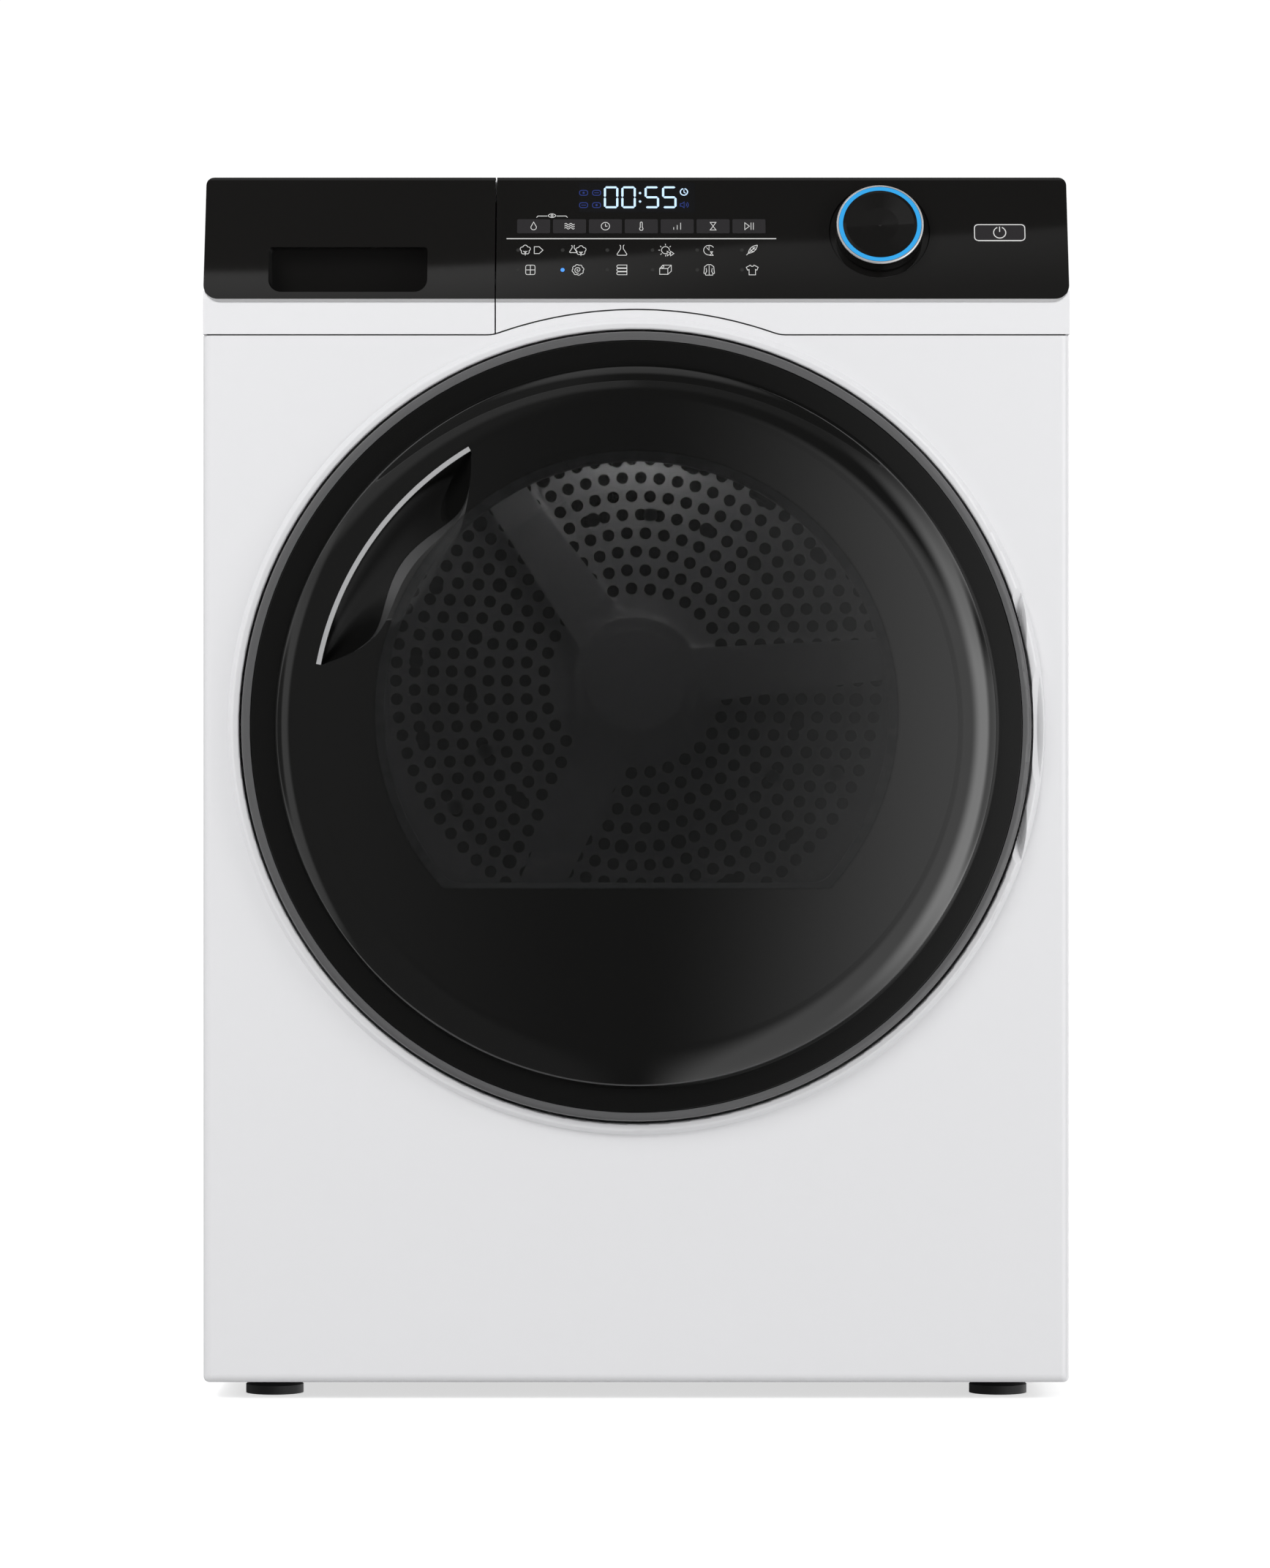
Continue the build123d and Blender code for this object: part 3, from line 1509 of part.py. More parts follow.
nodes = {
    "base_tray": base_tray(),
    "left_side_panel": side_panel(-1),
    "right_side_panel": side_panel(1),
    "rear_panel": rear_panel(),
    "rear_duct_cover": rear_duct_cover(),
    "worktop": worktop(),
    "front_panel": front_panel(),
    "crossbar": crossbar(),
    "fascia_panel": fascia_panel(),
    "fascia_strip": white_strip(*right_span),
    "fascia_trim": bright_trim(*right_span),
    "touch_keys": touch_keys(),
    "control_board": control_board(),
    "knob_cap": knob_cap(),
    "knob_light_ring": knob_light_ring(),
    "drawer_front": drawer_front(),
    "drawer_strip": white_strip(*left_span),
    "drawer_trim": bright_trim(*left_span),
    "tank_body": tank_body(),
    "tank_guide": tank_guide(),
    "front_bulkhead": front_bulkhead(),
    "drum_felt_seals": drum_felt_seals(),
    "lint_filter": lint_filter(),
    "left_roller": support_roller(*roller_spots[0]),
    "right_roller": support_roller(*roller_spots[1]),
    "roller_axles": roller_axles(),
    "drum_shell": drum_shell(),
    "drum_back": drum_back(),
    "drum_lifters": drum_lifters(),
    "drum_shaft": drum_shaft(),
    "drum_bearing": drum_bearing(),
    "door_frame": door_frame(),
    "door_lens": door_lens(),
    "door_glass": door_glass(),
    "door_inner_frame": door_inner_frame(),
    "handle_strip": handle_strip(),
    "hinge_leaf": hinge_leaf(),
    "hinge_bracket": hinge_bracket(),
    "hinge_pin": hinge_pin(),
    "latch_hook": latch_hook(),
    "door_latch": door_latch(),
    "door_gasket": door_gasket(),
    "drive_belt": drive_belt(),
    "drive_motor": drive_motor(),
    "motor_shaft": motor_shaft(),
    "blower_wheel": blower_wheel(),
    "blower_housing": blower_housing(),
    "idler_arm": idler_arm(),
    "idler_pulley": idler_pulley(),
    "rear_fittings": rear_fittings(),
    "heat_exchangers": heat_exchangers(),
    "heat_pump_cover": heat_pump_cover(),
    "compressor": compressor(),
    "refrigerant_pipes": refrigerant_pipes(),
    "condensate_pump": condensate_pump(),
    "pump_hose": pump_hose(),
}
nodes.update({name: foot(*spot) for name, spot in zip(feet_names, foot_spots)})

os.makedirs("parts", exist_ok=True)
for name, shape in nodes.items():
    export_step(single(shape), f"parts/{name}.step")
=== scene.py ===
import json
import math

import bpy
import numpy as np
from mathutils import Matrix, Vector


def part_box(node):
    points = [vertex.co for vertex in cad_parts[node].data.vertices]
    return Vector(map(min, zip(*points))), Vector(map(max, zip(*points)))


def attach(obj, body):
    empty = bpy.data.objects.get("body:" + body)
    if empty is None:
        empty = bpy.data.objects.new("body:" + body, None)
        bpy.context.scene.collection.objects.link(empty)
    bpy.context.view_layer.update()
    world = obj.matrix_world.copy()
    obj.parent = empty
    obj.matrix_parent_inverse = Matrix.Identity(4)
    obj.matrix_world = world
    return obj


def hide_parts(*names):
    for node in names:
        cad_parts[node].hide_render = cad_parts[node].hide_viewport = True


bl_info = {
    "name": "Clothes Dryer Looks",
    "version": (1, 0, 0),
    "blender": (4, 5, 0),
    "location": "View3D > Sidebar > Dryer",
    "description": "Finishes, lens, panel symbols and studio for a front-loading clothes dryer",
    "category": "Object",
}

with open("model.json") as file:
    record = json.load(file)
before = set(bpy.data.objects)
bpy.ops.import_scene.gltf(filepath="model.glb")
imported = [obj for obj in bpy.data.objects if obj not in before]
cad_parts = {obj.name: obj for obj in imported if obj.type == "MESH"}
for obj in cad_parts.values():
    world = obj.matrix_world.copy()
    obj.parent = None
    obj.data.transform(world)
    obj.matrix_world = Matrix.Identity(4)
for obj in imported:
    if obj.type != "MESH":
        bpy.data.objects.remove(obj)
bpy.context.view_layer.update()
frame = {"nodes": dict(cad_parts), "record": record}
NODES = frame["nodes"]
SLOT_OF = {part["node"]: part["material_slot"] for part in frame["record"]["subparts"]}
MM = 0.001

# Places in the frame
BOWL_HEIGHT = 473.0 * MM
BOWL_RADIUS = 179.0 * MM
BOWL_FLOOR = 352.5 * MM
BOWL_BLUR = 1.5 * MM
DRUM_HEIGHT = 504.0 * MM
DRUM_BACK = 212.5 * MM
HOLE_PITCH, HOLE_RADIUS = 14.3 * MM, 4.6 * MM
FIRST_RING, LAST_RING = 5, 13
PRINT_SINK = 0.05 * MM
PANEL_LEAN = math.radians(21.0)
PANEL_FOOT = (0.0, -290.0 * MM, 757.7 * MM)
CAMERA_SIDE, CAMERA_HEIGHT, CAMERA_LENS = -0.9 * MM, 0.424, 133.5

# Lens, in millimetres: radii about the door's centre, and depths along Y
RING_FRONT = -304.0
LENS_FOOT = 248.7
LENS_SHOULDER = 28.0
LENS_FLAT = 60.0
LENS_WALL = 3.0
DOME_RISE = 4.5
SEAT_BACK = -298.6
BULGE = 0.55
SCOOP_TURN, SCOOP_HALF = math.radians(145.0), math.radians(24.0)
SCOOP_EDGE, SCOOP_WIDTH = 219.4, 50.0

# Control panel, in millimetres: across from the middle, and up the slope from the foot
KEY_LEFT, KEY_WIDTH, KEY_PITCH, KEY_COUNT, KEY_RISE = -82.4, 22.9, 24.8, 7, 55.4
KEY_PROUD = 0.4
POWER_X, POWER_RISE = 251.0, 50.5
KNOB_X, KNOB_RISE = 168.0, 51.4
BAND_RADIUS, BAND_HEIGHT, BAND_HALF = 29.1, 11.0, (0.88, 1.0)
UPPER_ROW, LOWER_ROW = 37.2, 22.1
COLUMNS = (-73.0, -40.2, -9.9, 20.1, 50.2, 79.9)
LAMP_COLUMNS = (-81.5, -50.8, -20.0, 11.2, 42.0, 72.8)
DIGIT_RISE, DIGIT_WIDTH, BAR_WIDTH = 69.4, 10.1, 1.55
TIME_SHOWN = ((-22.5, "0"), (-10.4, "0"), (5.7, "5"), (17.8, "5"))


# Sizes and colours that a user would change


class DryerColours(bpy.types.PropertyGroup):
    """Colours of the dryer's main finishes, linear light."""

    white: bpy.props.FloatVectorProperty(
        name="White", description="Enamel of the casing", subtype="COLOR",
        default=(0.83, 0.83, 0.845), min=0, max=1,
    )
    black: bpy.props.FloatVectorProperty(
        name="Black", description="Gloss black of the control panel", subtype="COLOR",
        default=(0.0078, 0.0074, 0.0070), min=0, max=1,
    )
    ring: bpy.props.FloatVectorProperty(
        name="Door Ring", description="Grey ring round the door", subtype="COLOR",
        default=(0.105, 0.105, 0.107), min=0, max=1,
    )
    bright: bpy.props.FloatVectorProperty(
        name="Bright Trim", description="Plated trim and handle strip", subtype="COLOR",
        default=(0.78, 0.78, 0.79), min=0, max=1,
    )
    lit: bpy.props.FloatVectorProperty(
        name="Lit Ring", description="Light of the knob's ring and the running lamp", subtype="COLOR",
        default=(0.030, 0.345, 0.745), min=0, max=1,
    )
    digits: bpy.props.FloatVectorProperty(
        name="Digits", description="Light of the time display", subtype="COLOR",
        default=(0.56, 0.76, 1.0), min=0, max=1,
    )
    # Colour of the printed symbols; the same colour also drives a painted glow on them
    ink_and_painted_glow: bpy.props.FloatVectorProperty(
        name="Symbol Ink Painted Glow", description="Printed symbols on the panel", subtype="COLOR",
        default=(0.72, 0.72, 0.71), min=0, max=1,
    )
    steel: bpy.props.FloatVectorProperty(
        name="Drum Steel", description="Brushed steel of the drum", subtype="COLOR",
        default=(0.66, 0.66, 0.67), min=0, max=1,
    )


class DryerSizes(bpy.types.PropertyGroup):
    """Sizes of the pieces that are added to the solids."""

    door_height: bpy.props.FloatProperty(
        name="Door Centre", description="Height of the door's centre", unit="LENGTH", default=463.5 * MM,
    )
    lens_front: bpy.props.FloatProperty(
        name="Lens Front", description="Foremost plane of the lens", unit="LENGTH",
        default=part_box("door_lens")[0].y,
    )
    lens_radius: bpy.props.FloatProperty(
        name="Lens Radius", description="Outer edge of the lens rim", unit="LENGTH",
        default=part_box("door_lens")[1].x,
    )
    scoop_depth: bpy.props.FloatProperty(
        name="Scoop Depth", description="Depth of the finger scoop at the strip", unit="LENGTH",
        default=23.0 * MM,
    )
    stroke: bpy.props.FloatProperty(
        name="Stroke", description="Line width of the printed symbols", unit="LENGTH", default=0.4 * MM,
    )
    print_height: bpy.props.FloatProperty(
        name="Print Height", description="Thickness of the print above the panel", unit="LENGTH",
        default=0.12 * MM,
    )
    digit_height: bpy.props.FloatProperty(
        name="Digit Height", description="Height of the display digits", unit="LENGTH", default=16.9 * MM,
    )
    floor_half: bpy.props.FloatProperty(
        name="Floor Half", description="Half the width of the studio floor", unit="LENGTH", default=8.0,
    )
    camera_distance: bpy.props.FloatProperty(
        name="Camera Distance", description="Distance from the camera to the frame's origin plane",
        unit="LENGTH", default=4.29,
    )


def colours():
    """The scene's colour settings."""
    return bpy.context.scene.dryer_colours


def sizes():
    """The scene's size settings."""
    return bpy.context.scene.dryer_sizes


# Meshes from arrays


def signed_volume(points, faces):
    """Sum of the corner tetrahedra of every face fan, positive where faces point outwards."""
    total = 0.0
    for size in sorted({len(face) for face in faces}):
        group = np.array([face for face in faces if len(face) == size])
        corner = points[group]
        for k in range(1, size - 1):
            spread = np.cross(corner[:, k], corner[:, k + 1])
            total += np.einsum("ij,ij->i", corner[:, 0], spread).sum()
    return total / 6


def place_mesh(name, points, faces, material, body, sharp=35.0):
    """Makes a closed mesh at the origin, faces turned outwards, and hangs it on its body."""
    middle = points.mean(axis=0)
    if signed_volume(points - middle, faces) < 0:
        faces = [face[::-1] for face in faces]
    mesh = bpy.data.meshes.new(name)
    mesh.from_pydata(points.tolist(), [], [list(map(int, face)) for face in faces])
    mesh.validate()
    mesh.polygons.foreach_set("use_smooth", np.ones(len(mesh.polygons), bool))
    mesh.set_sharp_from_angle(angle=math.radians(sharp))
    mesh.materials.append(material)
    piece = bpy.data.objects.new(name, mesh)
    bpy.context.scene.collection.objects.link(piece)
    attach(piece, body)
    return piece


def grid_faces(rows, columns, close_rows=False):
    """Quads of a grid that wraps along its columns, and along its rows too where asked."""
    last = rows if close_rows else rows - 1
    i, j = np.meshgrid(np.arange(last), np.arange(columns), indexing="ij")
    right = (j + 1) % columns
    down = (i + 1) % rows
    here, below = i * columns, down * columns
    quads = np.stack((here + j, below + j, below + right, here + right), -1)
    return quads.reshape(-1, 4).tolist()


def turned_faces(rows, columns):
    """Faces of a turned shape whose first and last rows are closed by one face each."""
    faces = grid_faces(rows, columns)
    first = list(range(columns))
    last = [(rows - 1) * columns + k for k in range(columns)][::-1]
    return faces + [first, last]


class Drawing:
    """Thin closed prints gathered into one mesh: points are (across, up the face, off the face)."""

    def __init__(self):
        self.points = []
        self.faces = []
        self.count = 0

    def add(self, points, faces):
        """Appends a closed shape."""
        self.points.append(points)
        self.faces += [[k + self.count for k in face] for face in faces]
        self.count += len(points)

    def stroke(self, path, width, height, closed=False):
        """A rectangle carried along a flat path: at each point it stands square to the mean direction
        of the two neighbouring runs, widened by one over the cosine of half the turn."""
        path = np.asarray(path, float)
        ahead = np.roll(path, -1, 0) - path
        behind = path - np.roll(path, 1, 0)
        if not closed:
            ahead[-1] = behind[-1]
            behind[0] = ahead[0]
        ahead /= np.linalg.norm(ahead, axis=1)[:, None]
        behind /= np.linalg.norm(behind, axis=1)[:, None]
        mean = ahead + behind
        mean /= np.maximum(np.linalg.norm(mean, axis=1)[:, None], 1e-6)
        square = np.stack((-mean[:, 1], mean[:, 0]), -1)
        reach = width / 2 / np.maximum((mean * ahead).sum(1), 0.5)[:, None]
        left, right = path + square * reach, path - square * reach
        low, high = np.full(len(path), -PRINT_SINK), np.full(len(path), height)
        ring = np.stack((
            np.column_stack((left, low)), np.column_stack((right, low)),
            np.column_stack((right, high)), np.column_stack((left, high)),
        ), 1)
        faces = grid_faces(len(path), 4, closed)
        if not closed:
            end = 4 * (len(path) - 1)
            faces += [[3, 2, 1, 0], [end, end + 1, end + 2, end + 3]]
        self.add(ring.reshape(-1, 3), faces)

    def plate(self, outline, height):
        """An outline raised into a thin plate: top, bottom and one wall face per side."""
        outline = np.asarray(outline, float)
        n = len(outline)
        low = np.column_stack((outline, np.full(n, -PRINT_SINK)))
        high = np.column_stack((outline, np.full(n, height)))
        walls = [[k, (k + 1) % n, n + (k + 1) % n, n + k] for k in range(n)]
        self.add(np.vstack((low, high)), walls + [list(range(n))[::-1], list(range(n, 2 * n))])

    def on_panel(self, name, material):
        """Lays the drawing on the leaning face: across along X, up the slope, off along the normal."""
        flat = np.vstack(self.points)
        origin, up, out = panel_frame()
        points = origin + flat[:, :1] * np.array((1.0, 0, 0)) + flat[:, 1:2] * up + flat[:, 2:] * out
        place_mesh(name, points, self.faces, material, "cabinet", 30.0)


def panel_frame():
    """Foot of the black face at X 0, its up-slope direction and its normal."""
    up = np.array((0.0, math.sin(PANEL_LEAN), math.cos(PANEL_LEAN)))
    out = np.array((0.0, -math.cos(PANEL_LEAN), math.sin(PANEL_LEAN)))
    return np.array(PANEL_FOOT), up, out


def arc(x, y, radius, start, end, count=24):
    """Points on a circle from one angle to another, in degrees."""
    turn = np.radians(np.linspace(start, end, count))
    return np.column_stack((x + radius * np.cos(turn), y + radius * np.sin(turn)))


def circle(x, y, radius, count=32):
    """Points once round a circle."""
    return arc(x, y, radius, 0, 360, count + 1)[:-1]


def rounded(x, y, width, height, radius, count=6):
    """Rectangle about a centre with quarter circles at its corners."""
    dx, dy = width / 2 - radius, height / 2 - radius
    spots = ((dx, dy, 0), (-dx, dy, 90), (-dx, -dy, 180), (dx, -dy, 270))
    return np.vstack([arc(x + a, y + b, radius, t, t + 90, count) for a, b, t in spots])


def rosette(x, y, radius, lobes, swell, count=90):
    """Closed curve whose radius swells and shrinks with the absolute sine of half the lobe angle."""
    turn = np.linspace(0, 2 * np.pi, count, endpoint=False)
    r = radius + swell * np.abs(np.sin(lobes * turn / 2 + np.pi / 4))
    return np.column_stack((x + r * np.cos(turn), y + r * np.sin(turn)))


# Finishes


def blank_material(name, colour, rough, metal=0.0):
    """A named material with its base values set on the shader's own sockets."""
    material = bpy.data.materials.new(name)
    material.use_nodes = True
    shader = material.node_tree.nodes["Principled BSDF"]
    shader.inputs["Base Color"].default_value = (*colour[:3], 1)
    shader.inputs["Roughness"].default_value = rough
    shader.inputs["Metallic"].default_value = metal
    return material, shader


def object_pattern(material, stretch=(1, 1, 1)):
    """Object coordinates through a mapping, for a pattern that stays on the piece."""
    tree = material.node_tree
    where = tree.nodes.new("ShaderNodeTexCoord")
    mapping = tree.nodes.new("ShaderNodeMapping")
    mapping.inputs["Scale"].default_value = stretch
    tree.links.new(where.outputs["Object"], mapping.inputs["Vector"])
    return mapping.outputs["Vector"]


def calc(tree, kind, a, b=None):
    """A math node on two values, each a number or another node's output."""
    node = tree.nodes.new("ShaderNodeMath")
    node.operation = kind
    for socket, value in zip(node.inputs, (a, b)):
        if isinstance(value, (int, float)):
            socket.default_value = value
        elif value is not None:
            tree.links.new(value, socket)
    return node.outputs["Value"]


def slope(tree, value, low, high, start=0.0, end=1.0):
    """A smooth step of a value between two bounds."""
    node = tree.nodes.new("ShaderNodeMapRange")
    node.interpolation_type = "SMOOTHSTEP"
    for name, number in (("From Min", low), ("From Max", high), ("To Min", start), ("To Max", end)):
        node.inputs[name].default_value = number
    tree.links.new(value, node.inputs["Value"])
    return node.outputs["Result"]


def distance(tree, a, b):
    """Root of the sum of two squares."""
    squares = [calc(tree, "MULTIPLY", value, value) for value in (a, b)]
    return calc(tree, "SQRT", calc(tree, "ADD", *squares))


def add_grain(material, shader, scale, depth, spread, stretch=(1, 1, 1)):
    """Fine noise that moves the roughness a little and raises the surface by a hair."""
    tree = material.node_tree
    vector = object_pattern(material, stretch)
    noise = tree.nodes.new("ShaderNodeTexNoise")
    noise.inputs["Scale"].default_value = scale
    noise.inputs["Detail"].default_value = 3.0
    tree.links.new(vector, noise.inputs["Vector"])
    rough = shader.inputs["Roughness"].default_value
    span = tree.nodes.new("ShaderNodeMapRange")
    span.inputs["To Min"].default_value = max(rough - spread, 0.0)
    span.inputs["To Max"].default_value = min(rough + spread, 1.0)
    tree.links.new(noise.outputs["Fac"], span.inputs["Value"])
    tree.links.new(span.outputs["Result"], shader.inputs["Roughness"])
    if depth:
        bump = tree.nodes.new("ShaderNodeBump")
        bump.inputs["Strength"].default_value = 0.6
        bump.inputs["Distance"].default_value = depth * MM
        tree.links.new(noise.outputs["Fac"], bump.inputs["Height"])
        tree.links.new(bump.outputs["Normal"], shader.inputs["Normal"])


def add_mottle(material, shader, scale, share):
    """Slow noise that lightens and darkens the base colour a little."""
    tree = material.node_tree
    base = shader.inputs["Base Color"].default_value
    noise = tree.nodes.new("ShaderNodeTexNoise")
    noise.inputs["Scale"].default_value = scale
    tree.links.new(object_pattern(material), noise.inputs["Vector"])
    ramp = tree.nodes.new("ShaderNodeValToRGB")
    ramp.color_ramp.elements[0].color = (*[c * (1 - share) for c in base[:3]], 1)
    ramp.color_ramp.elements[1].color = (*[min(c * (1 + share), 1) for c in base[:3]], 1)
    tree.links.new(noise.outputs["Fac"], ramp.inputs["Fac"])
    tree.links.new(ramp.outputs["Color"], shader.inputs["Base Color"])


def coated(name, colour, rough, grain=900.0, depth=0.012, spread=0.04, coat=0.0, mottle=0.0):
    """Paint or moulded plastic with an orange-peel grain and, where asked, a clear coat."""
    material, shader = blank_material(name, colour, rough)
    shader.inputs["Coat Weight"].default_value = coat
    shader.inputs["Coat Roughness"].default_value = 0.08
    add_grain(material, shader, grain, depth, spread)
    if mottle:
        add_mottle(material, shader, 6.0, mottle)
    return material


def metal(name, colour, rough, stretch=(1, 1, 1), scale=300.0, spread=0.08, share=1.0, mottle=0.0):
    """Metal whose grain is drawn out along one direction."""
    material, shader = blank_material(name, colour, rough, share)
    add_grain(material, shader, scale, 0.0, spread, stretch)
    if mottle:
        add_mottle(material, shader, 45.0, mottle)
    return material


def glowing(name, colour, strength):
    """Lit plastic, or printed ink given a painted glow: its own light over a dim base of the same hue."""
    material, shader = blank_material(name, [c * 0.3 for c in colour], 0.3)
    shader.inputs["Emission Color"].default_value = (*colour, 1)
    shader.inputs["Emission Strength"].default_value = strength
    add_grain(material, shader, 400.0, 0.0, 0.05)
    return material


def see_through(name, colour, alpha, rough, level=0.5):
    """Clear or smoked pane: gloss over a share of straight view-through."""
    material, shader = blank_material(name, colour, rough)
    shader.inputs["Alpha"].default_value = alpha
    shader.inputs["Specular IOR Level"].default_value = level
    material.surface_render_method = "DITHERED"
    add_grain(material, shader, 60.0, 0.0, rough * 0.5)
    return material


def smoked_lens(name, colour):
    """Smoked pane, solid outside the bowl's outline and part clear inside it. The outline is a circle
    about the bowl's centre that is cut off flat at the bottom."""
    material, shader = blank_material(name, colour, 0.03)
    shader.inputs["Specular IOR Level"].default_value = 0.9
    material.surface_render_method = "DITHERED"
    tree = material.node_tree
    split = tree.nodes.new("ShaderNodeSeparateXYZ")
    tree.links.new(object_pattern(material), split.inputs["Vector"])
    height = split.outputs["Z"]
    radius = distance(tree, split.outputs["X"], calc(tree, "SUBTRACT", height, BOWL_HEIGHT))
    inside = slope(tree, radius, BOWL_RADIUS + BOWL_BLUR, BOWL_RADIUS - BOWL_BLUR)
    above = slope(tree, height, BOWL_FLOOR - BOWL_BLUR, BOWL_FLOOR + BOWL_BLUR)
    alpha = slope(tree, calc(tree, "MULTIPLY", inside, above), 0.0, 1.0, 1.0, 0.5)
    tree.links.new(alpha, shader.inputs["Alpha"])
    add_grain(material, shader, 60.0, 0.0, 0.012)
    return material


def drum_end_steel(name, colour):
    """Brushed steel with rings of air holes drawn as painted shade: near-black disks stand in for the dark
    insides seen through them. Each ring's radius and count come from the pitch of the perforations, and a
    point falls in a perforation where its distance from the nearest centre is under the radius."""
    material, shader = blank_material(name, colour, 0.36, 0.85)
    add_grain(material, shader, 260.0, 0.0, 0.08)
    tree = material.node_tree
    split = tree.nodes.new("ShaderNodeSeparateXYZ")
    tree.links.new(object_pattern(material), split.inputs["Vector"])
    x = split.outputs["X"]
    z = calc(tree, "SUBTRACT", split.outputs["Z"], DRUM_HEIGHT)
    radius = distance(tree, x, z)
    ring = calc(tree, "ROUND", calc(tree, "DIVIDE", radius, HOLE_PITCH))
    ring_radius = calc(tree, "MULTIPLY", ring, HOLE_PITCH)
    count = calc(tree, "ROUND", calc(tree, "MULTIPLY", ring, 2 * math.pi))
    turn = calc(tree, "DIVIDE", calc(tree, "ARCTAN2", z, x), 2 * math.pi)
    place = calc(tree, "MULTIPLY", turn, count)
    off = calc(tree, "DIVIDE", calc(tree, "SUBTRACT", place, calc(tree, "ROUND", place)), count)
    along = calc(tree, "MULTIPLY", calc(tree, "MULTIPLY", off, 2 * math.pi), ring_radius)
    gap = distance(tree, along, calc(tree, "SUBTRACT", radius, ring_radius))
    painted_hole_shade = calc(tree, "LESS_THAN", gap, HOLE_RADIUS)
    limits = (
        ("GREATER_THAN", ring, FIRST_RING - 0.5), ("LESS_THAN", ring, LAST_RING + 0.5),
        ("GREATER_THAN", split.outputs["Y"], DRUM_BACK),
    )
    for kind, value, bound in limits:
        painted_hole_shade = calc(tree, "MULTIPLY", painted_hole_shade, calc(tree, kind, value, bound))
    shade = tree.nodes.new("ShaderNodeValToRGB")
    shade.color_ramp.interpolation = "CONSTANT"
    shade.color_ramp.elements[0].color = (*colour, 1)
    # Painted shade: the air holes are drawn near-black rather than cut, standing in for the dark inside
    # seen through them
    shade.color_ramp.elements[1].color = (0.006, 0.006, 0.006, 1)
    shade.color_ramp.elements[1].position = 0.5
    tree.links.new(painted_hole_shade, shade.inputs["Fac"])
    tree.links.new(shade.outputs["Color"], shader.inputs["Base Color"])
    return material


def finish_table():
    """One material for each of the record's slots."""
    c = colours()
    white, black = tuple(c.white), tuple(c.black)
    moulded = [min(value * 1.01, 1) for value in white]
    plain = (1, 1, 1)
    return {
        "white_enamel": coated("White Enamel", white, 0.34, 700.0, 0.010, 0.03, coat=0.15),
        "white_board": coated("White Worktop", white, 0.46, 1400.0, 0.030, 0.05),
        "white_moulding": coated("White Moulding", moulded, 0.26, 500.0, 0.006, 0.03),
        "black_gloss": coated("Black Panel Gloss", black, 0.015, 240.0, 0.0, 0.005),
        "touch_pad": coated("Touch Pad", (0.024, 0.0225, 0.024), 0.34, 900.0, 0.004, 0.04),
        "bright_trim": metal("Bright Plating", tuple(c.bright), 0.24, (1, 40, 40), 60.0, 0.05, 0.55),
        "knob_black": coated("Knob Gloss", black, 0.09, 240.0, 0.0, 0.015),
        "lit_ring": glowing("Lit Ring", tuple(c.lit), 0.85),
        "ring_grey": coated("Door Ring Grey", tuple(c.ring), 0.36, 900.0, 0.006, 0.05),
        "smoked_lens": smoked_lens("Smoked Lens", (0.0046, 0.0046, 0.0044)),
        "clear_glass": see_through("Bowl Glass", (0.32, 0.33, 0.335), 0.16, 0.03, 1.0),
        "light_grey_plastic": coated("Light Grey Moulding", (0.42, 0.43, 0.44), 0.48, 700.0, 0.02, 0.06),
        "tank_plastic": coated("Tank Plastic", (0.60, 0.62, 0.64), 0.40, 300.0, 0.01, 0.06, mottle=0.04),
        "drum_steel": metal("Drum Steel", tuple(c.steel), 0.30, (1, 30, 1), 60.0, 0.08),
        "lifter_plastic": coated("Lifter Plastic", (0.30, 0.31, 0.32), 0.50, 600.0, 0.02, 0.06),
        "galvanised": metal("Galvanised Sheet", (0.50, 0.52, 0.53), 0.44, plain, 40.0, 0.12, 0.45, 0.12),
        "dark_plastic": coated("Dark Plastic", (0.035, 0.035, 0.038), 0.52, 800.0, 0.03, 0.07),
        "steel": metal("Bright Steel", (0.50, 0.50, 0.51), 0.34, (1, 1, 20), 80.0, 0.08),
        "bearing": coated("Bearing Plastic", (0.62, 0.60, 0.52), 0.44, 500.0, 0.01, 0.05),
        "felt": coated("Wool Felt", (0.40, 0.37, 0.32), 0.95, 1800.0, 0.30, 0.04, mottle=0.15),
        "rubber": coated("Black Rubber", (0.022, 0.022, 0.023), 0.66, 1000.0, 0.02, 0.08),
        "copper": metal("Copper Pipe", (0.72, 0.36, 0.20), 0.30, plain, 90.0, 0.10, 0.8, 0.10),
        "fins": metal("Aluminium Fins", (0.72, 0.73, 0.74), 0.38, (1, 120, 1), 40.0, 0.10),
        "black_enamel": coated("Black Enamel", (0.018, 0.018, 0.018), 0.38, 600.0, 0.02, 0.06, coat=0.1),
        "board_green": coated("Circuit Board", (0.020, 0.110, 0.045), 0.42, 300.0, 0.01, 0.06, mottle=0.2),
    }


FINISHES = {}


class DryerFinishesOperator(bpy.types.Operator):
    """Gives every solid of the frame the finish of its slot"""

    bl_idname = "dryer.finishes"
    bl_label = "Finishes"

    def execute(self, context):
        FINISHES.update(finish_table())
        FINISHES["drum_end"] = drum_end_steel("Drum End Steel Painted Hole Shade", tuple(colours().steel))
        for name, node in NODES.items():
            material = FINISHES["drum_end" if name == "drum_back" else SLOT_OF[name]]
            node.data.materials.clear()
            node.data.materials.append(material)
        return {"FINISHED"}


# Door lens


def lens_shoulder(inset):
    """Cubic Bezier curve from the dome's edge to the lens's foot, as radius and depth."""
    t = np.linspace(0, 1, 26)[1:, None]
    top = sizes().lens_front / MM + DOME_RISE + inset
    a = np.array((LENS_FOOT - LENS_SHOULDER, top))
    d = np.array((LENS_FOOT - inset, RING_FRONT + inset))
    b = np.array((a[0] + BULGE * (d[0] - a[0]), a[1]))
    c = np.array((d[0], d[1] + BULGE * (a[1] - d[1])))
    return (1 - t) ** 3 * a + 3 * t * (1 - t) ** 2 * b + 3 * t * t * (1 - t) * c + t**3 * d


